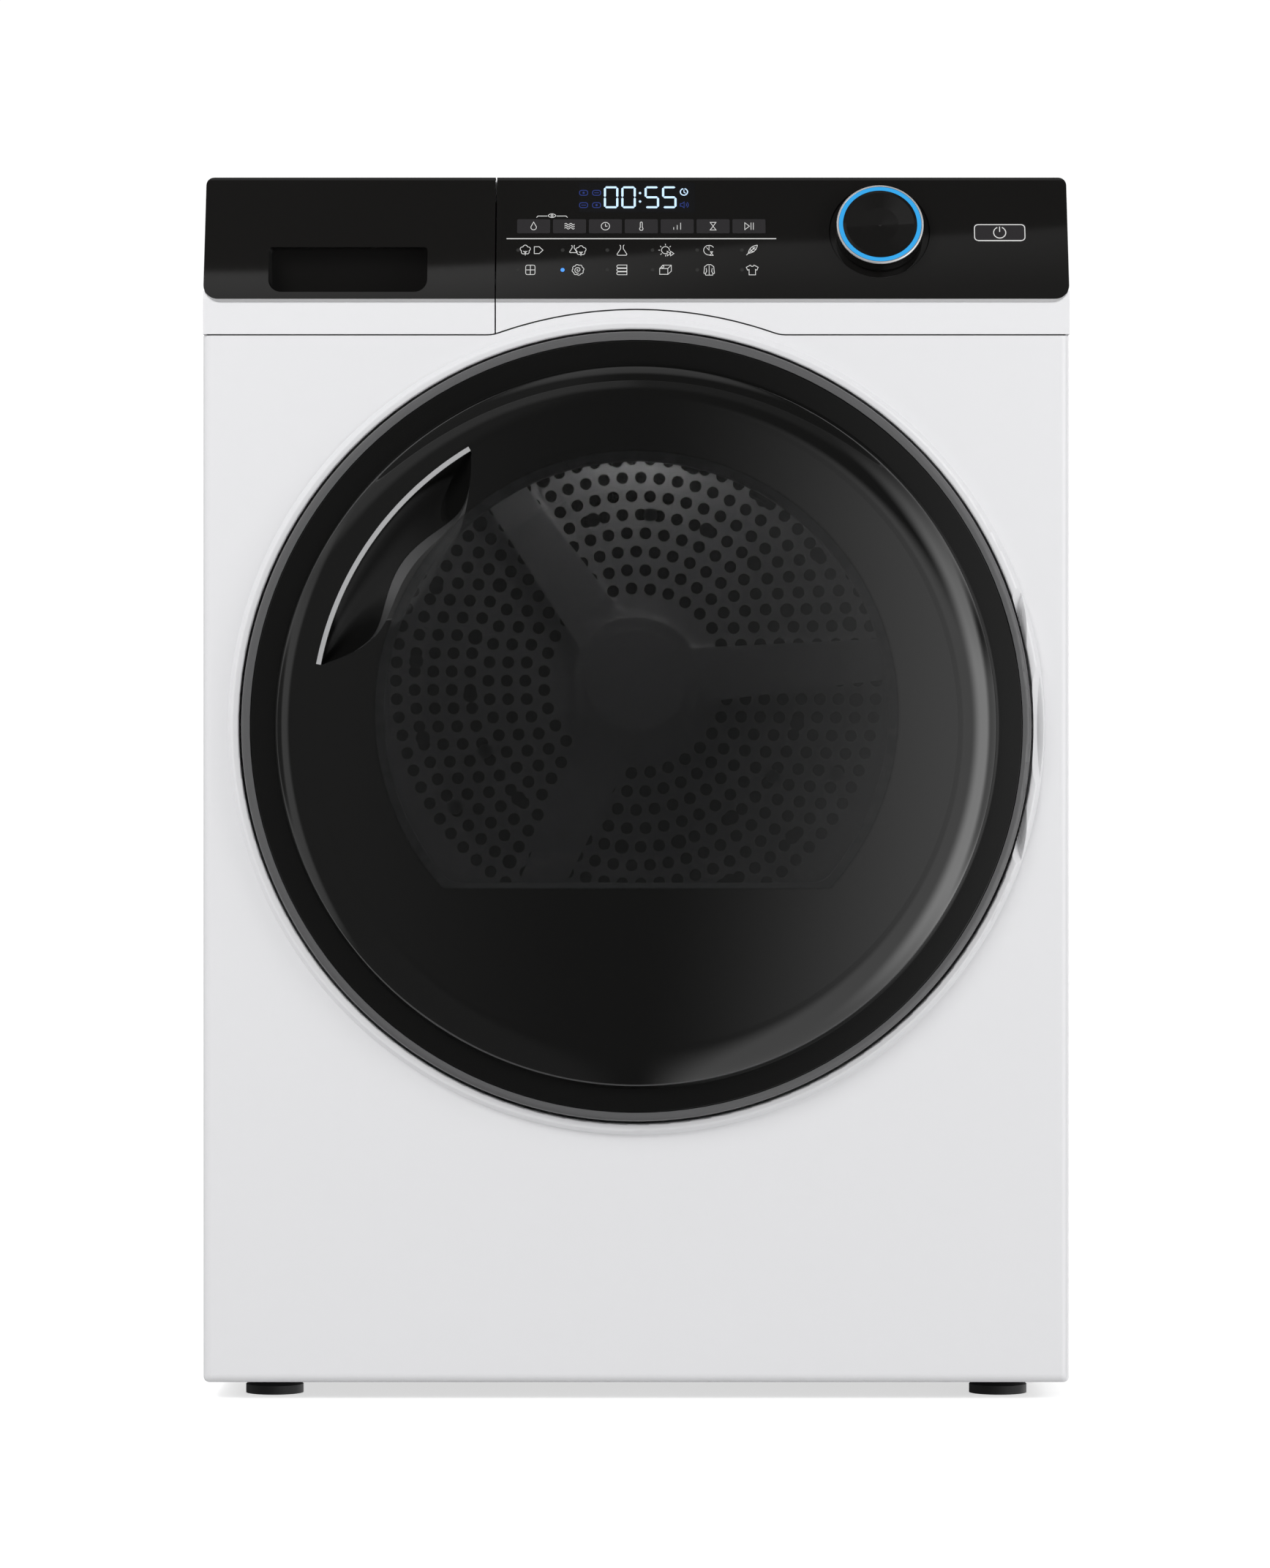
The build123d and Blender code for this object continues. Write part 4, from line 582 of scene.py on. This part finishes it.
def lens_rim():
    """The flat rim round the lens with a small bevel, and its back to the inside of the foot."""
    outer = sizes().lens_radius / MM
    return np.array((
        (252.0, RING_FRONT), (outer - 0.6, RING_FRONT), (outer, RING_FRONT + 0.5), (outer, SEAT_BACK),
        (LENS_FOOT - LENS_WALL, SEAT_BACK),
    ))


def lens_surface():
    """Polar grid of the lens. Its rows run to the scoop's inner arc, across the scoop to the strip, over
    the shoulder and rim and back inside. The face is a flat middle and a dome that falls with the square
    of the radius. In the scoop it falls further with the sine of the way across, times a depth that
    closes with the fourth power of the angle towards the scoop's two ends."""
    count = 720
    turn = np.radians(np.arange(count) * 360 / count)
    off = np.abs(np.angle(np.exp(1j * (turn - SCOOP_TURN))))
    chord, wide = SCOOP_EDGE * math.cos(SCOOP_HALF), SCOOP_EDGE * math.sin(SCOOP_HALF)
    start = SCOOP_EDGE - SCOOP_WIDTH
    sag = chord - start
    bow = (wide**2 + sag**2) / (2 * sag)
    away = start + bow
    inside = np.minimum(off, SCOOP_HALF)
    near = away * np.cos(inside) - np.sqrt(np.maximum(bow**2 - (away * np.sin(inside)) ** 2, 0))
    near = np.minimum(near, SCOOP_EDGE - 2.0)
    depth = sizes().scoop_depth / MM * np.sqrt(np.maximum(1 - (inside / SCOOP_HALF) ** 4, 0))
    first = np.linspace(0.02, 1, 40)[:, None]
    across = np.linspace(0, 1, 25)[1:, None]
    last = np.full((1, count), SCOOP_EDGE + 0.25)
    radius = np.vstack((first * near, near + across * (SCOOP_EDGE - near), last))
    fall = np.vstack((0 * first * near, np.sin(across * np.pi / 2) ** 1.2 * depth, 0 * last))
    slant = np.maximum(radius - LENS_FLAT, 0) / (LENS_FOOT - LENS_SHOULDER - LENS_FLAT)
    face = sizes().lens_front / MM + DOME_RISE * slant**2 + fall
    side = np.vstack((lens_shoulder(0.0), lens_rim(), lens_shoulder(LENS_WALL)[::-1]))
    spread = np.ones((1, count))
    radius = np.vstack((radius, side[:, :1] * spread, radius[::-1]))
    depth_y = np.vstack((face, side[:, 1:] * spread, (face + LENS_WALL)[::-1]))
    points = np.stack((radius * np.cos(turn), depth_y, radius * np.sin(turn)), -1) * MM
    points[..., 2] += sizes().door_height
    return points


class DryerLensOperator(bpy.types.Operator):
    """Makes the smooth door lens with its finger scoop"""

    bl_idname = "dryer.lens"
    bl_label = "Door Lens"

    def execute(self, context):
        points = lens_surface()
        rows, columns = points.shape[:2]
        faces = turned_faces(rows, columns)
        points, glass = points.reshape(-1, 3), FINISHES["smoked_lens"]
        lens = place_mesh("lens_with_scoop", points, faces, glass, "door", 25.0)
        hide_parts("door_lens")
        return {"FINISHED"}


# Display


SEGMENTS = {"0": "abcdef", "5": "afgcd"}


def segment_bars(x, y, width, height, thick):
    """The seven bars of a digit as six-sided outlines with pointed ends."""
    gap = thick * 0.12
    point = thick / 2
    far = width - 2 * point
    flat = np.array((
        (0, 0), (point, point), (far - point, point), (far, 0), (far - point, -point), (point, -point),
    ))
    flat = flat * (1 - 2 * gap / width) + (gap, 0)
    long = height / 2 - point
    tall = np.array((
        (0, 0), (point, point), (point, long - point), (0, long), (-point, long - point), (-point, point),
    ))
    tall = tall * (1 - 2 * gap / long) + (0, gap)
    left, right = x + point, x + width - point
    low, middle, high = y + point, y + height / 2, y + height - point
    return {
        "a": flat + (left, high), "g": flat + (left, middle), "d": flat + (left, low),
        "f": tall + (left, middle), "b": tall + (right, middle),
        "e": tall + (left, low), "c": tall + (right, low),
    }


class DryerDisplayOperator(bpy.types.Operator):
    """Draws the lit time and the dim status symbols of the display"""

    bl_idname = "dryer.display"
    bl_label = "Time Display"

    def execute(self, context):
        height = sizes().digit_height / MM
        lift = sizes().print_height
        material = glowing("Display Light", tuple(colours().digits), 1.0)
        digits = Drawing()
        for x, figure in TIME_SHOWN:
            bars = segment_bars(x, DIGIT_RISE, DIGIT_WIDTH, height, BAR_WIDTH)
            for bar in SEGMENTS[figure]:
                digits.plate(bars[bar] * MM, lift)
        for rise in (5.2, 11.7):
            digits.plate(circle(2.6, DIGIT_RISE + rise, 0.85, 16) * MM, lift)
        digits.stroke(arc(33.0, DIGIT_RISE + 12.6, 2.5, 100, 440, 40) * MM, 0.7 * MM, lift)
        hands = np.array(((33.0, 14.2), (33.0, 12.4), (34.2, 11.6))) + (0, DIGIT_RISE)
        digits.stroke(hands * MM, 0.5 * MM, lift)
        digits.on_panel("display_digits", material)
        dim = glowing("Display Dim Light", (0.020, 0.035, 0.165), 1.0)
        marks = Drawing()
        low, high = DIGIT_RISE + 2.4, DIGIT_RISE + 11.9
        for x, rise in ((-36.5, low), (-27.5, low), (-36.5, high), (-27.5, high)):
            marks.stroke(rounded(x, rise, 5.6, 3.8, 1.5) * MM, 0.55 * MM, lift, True)
        for x, rise in ((-36.5, low), (-27.5, high)):
            marks.stroke(np.array(((x - 1.6, rise), (x + 1.6, rise))) * MM, 0.5 * MM, lift)
        for x, rise in ((-27.5, low), (-36.5, high)):
            marks.plate(circle(x, rise, 0.8, 16) * MM, lift)
        cone = np.array(((30.4, 1.6), (31.5, 1.6), (33.1, 0.4), (33.1, 4.8), (31.5, 3.5), (30.4, 3.5)))
        marks.stroke((cone + (0, DIGIT_RISE)) * MM, 0.5 * MM, lift, True)
        for radius, count in ((1.4, 10), (2.6, 12)):
            marks.stroke(arc(33.4, DIGIT_RISE + 2.6, radius, -50, 50, count) * MM, 0.5 * MM, lift)
        marks.on_panel("display_status_marks", dim)
        pane = Drawing()
        pane.plate(rounded(0.5, DIGIT_RISE + 8.4, 80.4, 23.0, 1.0) * MM, 0.06 * MM)
        window = coated("Display Window", (0.0055, 0.0055, 0.0062), 0.12, 200.0, 0.0, 0.02)
        pane.on_panel("display_window", window)
        return {"FINISHED"}


# Printed symbols


def icon_cotton(x, y):
    """A boll of five lobes on a stem."""
    stem = np.array(((x, y - 3.9), (x, y - 0.6)))
    twig = np.array(((x - 1.3, y - 0.7), (x, y - 2.0), (x + 1.3, y - 0.7)))
    return [(rosette(x, y + 0.3, 2.7, 5, 0.9), True), (stem, False), (twig, False)]


def icon_tag(x, y):
    """A tag with a pointed end."""
    points = ((-2.8, -2.6), (-2.8, 2.6), (0.6, 2.6), (3.2, 0.0), (0.6, -2.6))
    return [(np.array(points) + (x, y), True)]


def icon_flask(x, y, size=1.0):
    """A flask with a narrow neck."""
    half = np.array(((1.5, 4.0), (0.9, 3.2), (0.9, 1.2), (3.4, -3.1), (2.9, -3.9)))
    whole = np.vstack((half * (-1, 1), half[::-1]))
    return [(whole * size + (x, y), False)]


def icon_sun(x, y):
    """A sun with short rays and a double arrow head."""
    turn = np.radians(np.array((40, 90, 140, 180, 225, 270)))
    beams = np.stack((np.cos(turn), np.sin(turn)), -1)
    rays = [(np.array((3.7 * beam, 4.8 * beam)) + (x, y), False) for beam in beams]
    head = np.array(((0.0, -4.4), (0.0, -0.8), (2.3, -2.6)))
    heads = [(head + (x + step, y), True) for step in (1.2, 3.5)]
    return [(arc(x, y, 2.7, -10, 290, 30), False), *rays, *heads]


def icon_clock(x, y):
    """A dial with two hands and a small glass below."""
    glass = np.array(((0.6, -4.0), (2.8, -4.0), (0.9, -1.2), (2.5, -1.2))) + (x, y)
    hands = np.array(((x - 1.7, y + 2.0), (x, y), (x, y + 3.2)))
    return [(arc(x, y, 3.7, 35, 280, 30), False), (hands, False), (glass, True)]


def icon_feather(x, y):
    """A leaf-shaped feather on a slanted quill."""
    t = np.linspace(0, 1, 24)
    bulge = 1.7 * np.sin(np.pi * t) ** 0.8
    line = np.column_stack((x - 2.6 + 6.2 * t, y - 2.4 + 6.2 * t))
    side = np.array((-0.707, 0.707))
    outline = np.vstack((line + bulge[:, None] * side, (line - bulge[:, None] * side)[::-1][1:-1]))
    quill = np.array(((x - 4.0, y - 3.8), (x + 2.2, y + 2.4)))
    starts = ((-0.9, 0.0), (0.7, 0.0), (-0.9, 1.8), (0.7, 1.8))
    barbs = [(np.array(((a, a + 0.2), (a + b, a + 1.8 - b))) + (x, y), False) for a, b in starts]
    return [(outline, True), (quill, False), *barbs]


def icon_quilt(x, y):
    """A square quilt with two seams."""
    seams = np.array((((-3.2, 0.0), (3.2, 0.0)), ((0.0, -3.6), (0.0, 3.6)))) + (x, y)
    return [(rounded(x, y, 6.4, 7.2, 1.2), True), *((seam, False) for seam in seams)]


def icon_wool(x, y):
    """A ball of wool: a lobed outline round a spiral."""
    t = np.linspace(0, 1, 50)
    turn = 0.6 + 3.4 * np.pi * t
    coil = np.column_stack((x + 2.6 * t * np.cos(turn), y + 2.6 * t * np.sin(turn)))
    return [(rosette(x, y, 3.5, 8, 0.6), True), (coil[4:], False)]


def icon_stack(x, y):
    """Three folded towels."""
    half = np.array(((3.4, 1.1), (-2.8, 1.1), (-3.5, 0.4)))
    fold = np.vstack((half, half[::-1] * (1, -1)))
    return [(fold + (x, y + step), True) for step in (-2.6, 0.0, 2.6)]


def icon_bedding(x, y):
    """A folded duvet with a rolled edge."""
    side = np.array(((x - 4.0, y - 3.4), (x - 4.0, y + 1.0), (x + 1.6, y + 1.0), (x + 1.6, y - 3.4)))
    top = np.array(((x - 4.0, y + 1.0), (x - 1.8, y + 3.6), (x + 4.0, y + 3.6), (x + 1.6, y + 1.0)))
    end = np.array(((x + 4.0, y + 3.6), (x + 4.0, y - 1.0), (x + 1.6, y - 3.4)))
    return [(side, True), (top, False), (end, False), (circle(x - 1.9, y + 2.4, 0.8, 14), True)]


def icon_jacket(x, y):
    """A padded jacket with a zip."""
    half = np.array(((1.2, 4.0), (3.2, 2.4), (3.6, -2.6), (2.6, -3.0), (2.4, -4.0)))
    body = np.vstack((half, half[::-1] * (-1, 1))) + (x, y)
    zip_line = np.array(((x, y + 3.2), (x, y - 4.0)))
    sleeve = np.array(((2.1, 1.4), (1.7, -1.0), (2.6, -3.0)))
    sleeves = [(sleeve * (side, 1) + (x, y), False) for side in (-1, 1)]
    return [(body, True), (zip_line, False), *sleeves]


def icon_shirt(x, y):
    """A short-sleeved shirt with a cut neck."""
    half = np.array(((0.5, 2.7), (1.3, 3.6), (4.1, 2.0), (3.2, -0.2), (2.2, 0.3), (2.2, -3.8)))
    body = np.vstack((half, half[::-1] * (-1, 1))) + (x, y)
    return [(body, True)]


def draw(drawing, strokes, width, height):
    """Adds strokes given in millimetres to a drawing."""
    for path, closed in strokes:
        drawing.stroke(np.asarray(path) * MM, width, height, closed)


class DryerProgrammesOperator(bpy.types.Operator):
    """Prints the two rows of programme symbols, their lamps and the line above them"""

    bl_idname = "dryer.programmes"
    bl_label = "Programme Symbols"

    def execute(self, context):
        width, height = sizes().stroke, sizes().print_height
        # Painted glow: the printed symbol ink is given emission, though it is no lamp
        ink_and_painted_glow = glowing("Symbol Ink Painted Glow", tuple(colours().ink_and_painted_glow), 0.75)
        symbols = Drawing()
        pairs = (
            icon_cotton(-76.6, UPPER_ROW), icon_tag(-67.6, UPPER_ROW),
            icon_flask(-43.6, UPPER_ROW + 0.9, 0.72), icon_cotton(-38.2, UPPER_ROW - 0.5),
        )
        singles = (icon_flask, icon_sun, icon_clock, icon_feather)
        above = [icon(x, UPPER_ROW) for icon, x in zip(singles, COLUMNS[2:])]
        lower = (icon_quilt, icon_wool, icon_stack, icon_bedding, icon_jacket, icon_shirt)
        below = [icon(x, LOWER_ROW) for icon, x in zip(lower, COLUMNS)]
        for strokes in (*pairs, *above, *below):
            draw(symbols, strokes, width, height)
        draw(symbols, [(np.array(((-89.6, 46.0), (96.6, 46.0))), False)], 0.6 * MM, height)
        symbols.on_panel("programme_symbols", ink_and_painted_glow)
        lamps = Drawing()
        running = (LAMP_COLUMNS[1], LOWER_ROW)
        for rise in (UPPER_ROW, LOWER_ROW):
            for x in LAMP_COLUMNS:
                if (x, rise) != running:
                    lamps.plate(circle(x, rise, 1.3, 20) * MM, height)
        off = coated("Lamp Off", (0.030, 0.030, 0.029), 0.22, 300.0, 0.0, 0.03)
        lamps.on_panel("programme_lamps_off", off)
        on = Drawing()
        on.plate(circle(*running, 1.4, 24) * MM, height)
        lamp = glowing("Lamp On", (0.075, 0.30, 0.95), 1.1)
        on.on_panel("programme_lamp_on", lamp)
        return {"FINISHED"}


def key_symbols(centres, rise):
    """Plain symbols for the seven keys: drop, waves, dial, thermometer, bars, sand glass, play/pause."""
    a, b, c, d, e, f, g = centres
    t = np.linspace(0, 1, 30)
    drop = np.vstack((np.array(((a, rise + 3.2),)), arc(a, rise - 0.9, 1.9, 35, -215, 24)))
    wave = np.column_stack((b - 3.4 + 6.8 * t, rise + 0.6 * np.sin(4 * np.pi * t)))
    waves = [(wave + (0, step), False) for step in (-1.6, 0.0, 1.6)]
    dial = [(circle(c, rise, 2.9), True), (np.array(((c, rise + 1.9), (c, rise), (c + 1.4, rise))), False)]
    bulb = [(np.vstack((arc(d, rise - 2.0, 1.2, 125, 415, 20), arc(d, rise + 2.5, 0.7, 0, 180, 8))), True)]
    foot = rise - 2.6
    steps = ((-2.4, 1.8), (0.0, 3.4), (2.4, 5.2))
    bars = [(np.array(((e + s, foot), (e + s, foot + tall))), False) for s, tall in steps]
    glass = [(np.array(((-2.0, -2.9), (2.0, -2.9), (-2.0, 2.9), (2.0, 2.9))) + (f, rise), True)]
    play = [(np.array(((g - 2.9, rise - 2.7), (g - 2.9, rise + 2.7), (g + 0.3, rise))), True)]
    pause = [(np.array(((g + s, rise - 2.7), (g + s, rise + 2.7))), False) for s in (1.4, 3.0)]
    return [(drop, True), *waves, *dial, *bulb, *bars, *glass, *play, *pause]


class DryerKeysOperator(bpy.types.Operator):
    """Prints the symbols on the touch keys, the bracket above two of them and the power key's frame"""

    bl_idname = "dryer.keys"
    bl_label = "Key Symbols"

    def execute(self, context):
        width, height = sizes().stroke, sizes().print_height + KEY_PROUD * MM
        # Painted glow: the printed key ink is given emission, though it is no lamp
        ink_and_painted_glow = glowing("Key Ink Painted Glow", tuple(colours().ink_and_painted_glow), 0.75)
        centres = [KEY_LEFT + KEY_WIDTH / 2 + KEY_PITCH * k for k in range(KEY_COUNT)]
        symbols = Drawing()
        draw(symbols, key_symbols(centres, KEY_RISE), width, height)
        low = sizes().print_height
        bracket = ((-69.0, 62.3), (-68.0, 63.4), (-61.5, 63.4))
        draw(symbols, [(np.array(bracket), False)], width, low)
        draw(symbols, [(np.array([(-116.6 - x, y) for x, y in bracket]), False)], width, low)
        eye = np.vstack((arc(-58.3, 61.7, 3.4, 40, 140, 12), arc(-58.3, 65.7, 3.4, 220, 320, 12)))
        draw(symbols, [(eye, True), (circle(-58.3, 63.7, 0.7, 12), True)], width, low)
        x, rise = POWER_X, POWER_RISE
        draw(symbols, [(rounded(x, rise, 34.8, 12.2, 2.6), True)], 0.6 * MM, height)
        draw(symbols, [(arc(x, rise, 4.2, 112, 428, 40), False)], 0.6 * MM, height)
        draw(symbols, [(np.array(((x, rise + 4.5), (x, rise + 0.6))), False)], 0.6 * MM, height)
        symbols.on_panel("key_symbols", ink_and_painted_glow)
        return {"FINISHED"}


# Knob


def knob_rows():
    """Profile of the plated band round the knob's front edge: an ellipse, as radius and height."""
    t = np.radians(np.linspace(0, 360, 24, endpoint=False))
    return np.column_stack((BAND_RADIUS + BAND_HALF[0] * np.cos(t), BAND_HEIGHT + BAND_HALF[1] * np.sin(t)))


class DryerKnobOperator(bpy.types.Operator):
    """Makes the plated band of the selector knob"""

    bl_idname = "dryer.knob"
    bl_label = "Knob Band"

    def execute(self, context):
        profile = knob_rows() * MM
        turn = np.linspace(0, 2 * np.pi, 144, endpoint=False)
        origin, up, out = panel_frame()
        centre = origin + np.array((KNOB_X * MM, 0, 0)) + up * KNOB_RISE * MM
        across = np.cos(turn)[:, None] * np.array((1.0, 0, 0)) + np.sin(turn)[:, None] * up
        points = centre + profile[:, None, :1] * across[None] + profile[:, None, 1:] * out
        faces = grid_faces(len(profile), len(turn), True)
        plating = FINISHES["bright_trim"]
        place_mesh("knob_band", points.reshape(-1, 3), faces, plating, "knob")
        return {"FINISHED"}


# Screws at the back


def screw_grid(spots, radius, height, out):
    """Domed screw heads: height falls with the square of the radius, less a dip for the driver along the
    two arms of a cross."""
    rings = np.linspace(0.06, 1, 12)[:, None]
    turn = np.linspace(0, 2 * np.pi, 24, endpoint=False)[None]
    a, b = rings * np.cos(turn), rings * np.sin(turn)
    reach, half_width, sunk, fall = 0.55, 0.12, 0.45, 0.55
    arm = np.maximum(np.abs(a), np.abs(b)) < reach
    dip = sunk * ((np.minimum(np.abs(a), np.abs(b)) < half_width) & arm)
    rise = height * (1 - fall * rings**2 - dip)
    skirt = np.stack((radius * a[-1], radius * b[-1], np.full(24, -0.2 * MM)), -1)[None]
    head = np.concatenate((np.stack((radius * a, radius * b, rise), -1), skirt))
    side = np.array((1.0, 0, 0))
    up = np.cross(out, side)
    local = head[..., :1] * side + head[..., 1:2] * up + head[..., 2:] * out
    return np.asarray(spots)[:, None, None] + local[None]


class DryerScrewsOperator(bpy.types.Operator):
    """Sets the screw heads that hold the back sheet"""

    bl_idname = "dryer.screws"
    bl_label = "Rear Screws"

    def execute(self, context):
        low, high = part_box("rear_panel")
        inset = 9 * MM
        xs = np.array((low.x + inset, high.x - inset))
        zs = np.linspace(low.z + 4 * inset, high.z - 2 * inset, 5)
        grid = np.stack(np.meshgrid(xs, zs), -1).reshape(-1, 2)
        face = np.full(len(grid), rear_face(NODES["rear_panel"].data))
        spots = np.column_stack((grid[:, 0], face, grid[:, 1]))
        heads = screw_grid(spots, 4.2 * MM, 1.8 * MM, np.array((0, 1.0, 0)))
        count, rows, columns = heads.shape[:3]
        one = turned_faces(rows, columns)
        faces = [[k + n * rows * columns for k in face] for n in range(count) for face in one]
        place_mesh("rear_screws", heads.reshape(-1, 3), faces, FINISHES["steel"], "cabinet", 50.0)
        return {"FINISHED"}


def rear_face(mesh):
    """Y of the flat back sheet: the level on which most of the node's points behind its middle lie."""
    points = np.empty(len(mesh.vertices) * 3, np.float32)
    mesh.vertices.foreach_get("co", points)
    levels, counts = np.unique(np.round(points[1::3], 4), return_counts=True)
    behind = levels > levels.max() - 0.004
    return float(levels[behind][counts[behind].argmax()])


# Stage


def floor_material():
    """Pale floor that keeps soft shadows and reads as white to the camera."""
    material, shader = blank_material("Studio Floor", (0.84, 0.84, 0.84), 0.7)
    shader.inputs["Specular IOR Level"].default_value = 0.1
    tree = material.node_tree
    path = tree.nodes.new("ShaderNodeLightPath")
    glow = calc(tree, "MULTIPLY", path.outputs["Is Camera Ray"], 0.64)
    shader.inputs["Emission Color"].default_value = (1, 1, 1, 1)
    tree.links.new(glow, shader.inputs["Emission Strength"])
    return material


def studio_world():
    """World that is white to the camera, an even pale grey to the casing and, in gloss, a dark room with
    a pale band overhead, a wide soft panel at the right and upright ones at both sides."""
    world = bpy.data.worlds.new("Studio")
    world.use_nodes = True
    tree = world.node_tree
    tree.nodes.clear()
    out = tree.nodes.new("ShaderNodeOutputWorld")
    where = tree.nodes.new("ShaderNodeTexCoord")
    split = tree.nodes.new("ShaderNodeSeparateXYZ")
    tree.links.new(where.outputs["Generated"], split.inputs["Vector"])
    path = tree.nodes.new("ShaderNodeLightPath")
    x, z = split.outputs["X"], split.outputs["Z"]
    right = calc(tree, "MULTIPLY", slope(tree, x, 0.0, 0.20, 0.0, 0.82), slope(tree, z, 0.30, 0.10))
    level = calc(tree, "MULTIPLY", slope(tree, z, -0.85, -0.35), slope(tree, z, 0.80, 0.25))
    narrow = calc(tree, "MULTIPLY", slope(tree, x, -0.99, -0.95), slope(tree, x, -0.76, -0.86, 0.0, 0.5))
    wide = calc(tree, "MULTIPLY", slope(tree, x, 0.40, 0.70, 0.0, 2.2), slope(tree, x, 0.97, 0.85))
    sides = calc(tree, "MULTIPLY", level, calc(tree, "ADD", narrow, wide))
    edge = calc(tree, "SUBTRACT", z, calc(tree, "MULTIPLY", calc(tree, "MINIMUM", x, 0.0226), 0.054))
    rise = slope(tree, edge, 0.7262, 0.7336, 0.10, 0.32)
    fade = calc(tree, "MULTIPLY", slope(tree, edge, 0.45, 0.60), rise)
    fade = calc(tree, "MULTIPLY", fade, slope(tree, x, 0.025, -0.035, 1.0, 2.6))
    band = calc(tree, "MULTIPLY", fade, slope(tree, edge, 0.7341, 0.7334))
    top = slope(tree, z, 0.90, 0.98, 0.0, 0.4)
    overhead = calc(tree, "ADD", calc(tree, "ADD", band, top), slope(tree, x, -0.02, -0.16, 0.06, 0.13))
    gloss = calc(tree, "ADD", calc(tree, "ADD", right, sides), overhead)
    strength = tree.nodes.new("ShaderNodeMix")
    strength.data_type = "FLOAT"
    strength.inputs["A"].default_value = 0.62
    tree.links.new(path.outputs["Is Glossy Ray"], strength.inputs["Factor"])
    tree.links.new(gloss, strength.inputs["B"])
    seen = tree.nodes.new("ShaderNodeMix")
    seen.data_type = "FLOAT"
    seen.inputs["B"].default_value = 1.3
    tree.links.new(path.outputs["Is Camera Ray"], seen.inputs["Factor"])
    tree.links.new(strength.outputs["Result"], seen.inputs["A"])
    light = tree.nodes.new("ShaderNodeBackground")
    tree.links.new(seen.outputs["Result"], light.inputs["Strength"])
    tree.links.new(light.outputs["Background"], out.inputs["Surface"])
    return world


def soft_lamp(name, place, target, size, power):
    """A square soft lamp that looks at a point."""
    lamp = bpy.data.lights.new(name, "AREA")
    lamp.shape = "SQUARE"
    lamp.size = size
    lamp.energy = power
    holder = bpy.data.objects.new(name, lamp)
    holder.location = place
    look = np.asarray(target, float) - np.asarray(place, float)
    flat = math.hypot(look[0], look[1])
    holder.rotation_euler = (math.atan2(flat, -look[2]), 0, math.atan2(-look[0], look[1]))
    bpy.context.scene.collection.objects.link(holder)
    return holder


class DryerStageOperator(bpy.types.Operator):
    """Sets the floor, the soft lamps, the world and the camera"""

    bl_idname = "dryer.stage"
    bl_label = "Studio"

    def execute(self, context):
        scene = context.scene
        half = sizes().floor_half
        corners = [(-half, -half, 0), (half, -half, 0), (half, half, 0), (-half, half, 0)]
        mesh = bpy.data.meshes.new("studio_floor")
        mesh.from_pydata(corners, [], [(0, 1, 2, 3)])
        mesh.materials.append(floor_material())
        floor = bpy.data.objects.new("studio_floor", mesh)
        scene.collection.objects.link(floor)
        floor.visible_glossy = False
        scene.world = studio_world()
        middle = (0.0, 0.0, 0.42)
        key = soft_lamp("key_lamp", (-1.7, -2.6, 2.6), middle, 1.6, 55.0)
        fill = soft_lamp("fill_lamp", (2.4, -1.8, 1.3), middle, 1.4, 22.0)
        inner = soft_lamp("drum_lamp", (0, 165 * MM, 745 * MM), (0, 215 * MM, 655 * MM), 0.06, 0.55)
        inner.visible_camera = False
        for lamp in (key, fill, inner):
            lamp.visible_glossy = lamp is inner
        camera = bpy.data.cameras.new("camera")
        camera.lens = CAMERA_LENS
        camera.sensor_width = 36.0
        holder = bpy.data.objects.new("camera", camera)
        holder.location = (CAMERA_SIDE, -sizes().camera_distance, CAMERA_HEIGHT)
        holder.rotation_euler = (math.pi / 2, 0, 0)
        scene.collection.objects.link(holder)
        scene.camera = holder
        scene.view_settings.view_transform = "Standard"
        return {"FINISHED"}


# Add-on


OPERATORS = (
    DryerFinishesOperator,
    DryerLensOperator,
    DryerDisplayOperator,
    DryerProgrammesOperator,
    DryerKeysOperator,
    DryerKnobOperator,
    DryerScrewsOperator,
    DryerStageOperator,
)


class DryerPanel(bpy.types.Panel):
    """Lists the dryer's sizes, colours and pieces"""

    bl_idname = "DRYER_PT_panel"
    bl_label = "Clothes Dryer"
    bl_space_type = "VIEW_3D"
    bl_region_type = "UI"
    bl_category = "Dryer"

    def draw(self, context):
        layout = self.layout
        for group in (context.scene.dryer_sizes, context.scene.dryer_colours):
            box = layout.box()
            for name in group.bl_rna.properties.keys():
                if name not in {"rna_type", "name"}:
                    box.prop(group, name)
        for operator in OPERATORS:
            layout.operator(operator.bl_idname)


CLASSES = (DryerColours, DryerSizes, *OPERATORS, DryerPanel)


def register():
    """Adds the classes and the two groups of settings."""
    for one in CLASSES:
        bpy.utils.register_class(one)
    bpy.types.Scene.dryer_colours = bpy.props.PointerProperty(type=DryerColours)
    bpy.types.Scene.dryer_sizes = bpy.props.PointerProperty(type=DryerSizes)


def unregister():
    """Takes the settings and the classes away again."""
    del bpy.types.Scene.dryer_sizes
    del bpy.types.Scene.dryer_colours
    for one in reversed(CLASSES):
        bpy.utils.unregister_class(one)


def main():
    """Builds the looks in order."""
    register()
    for operator in OPERATORS:
        group, name = operator.bl_idname.split(".")
        getattr(getattr(bpy.ops, group), name)()


if __name__ == "__main__":
    main()
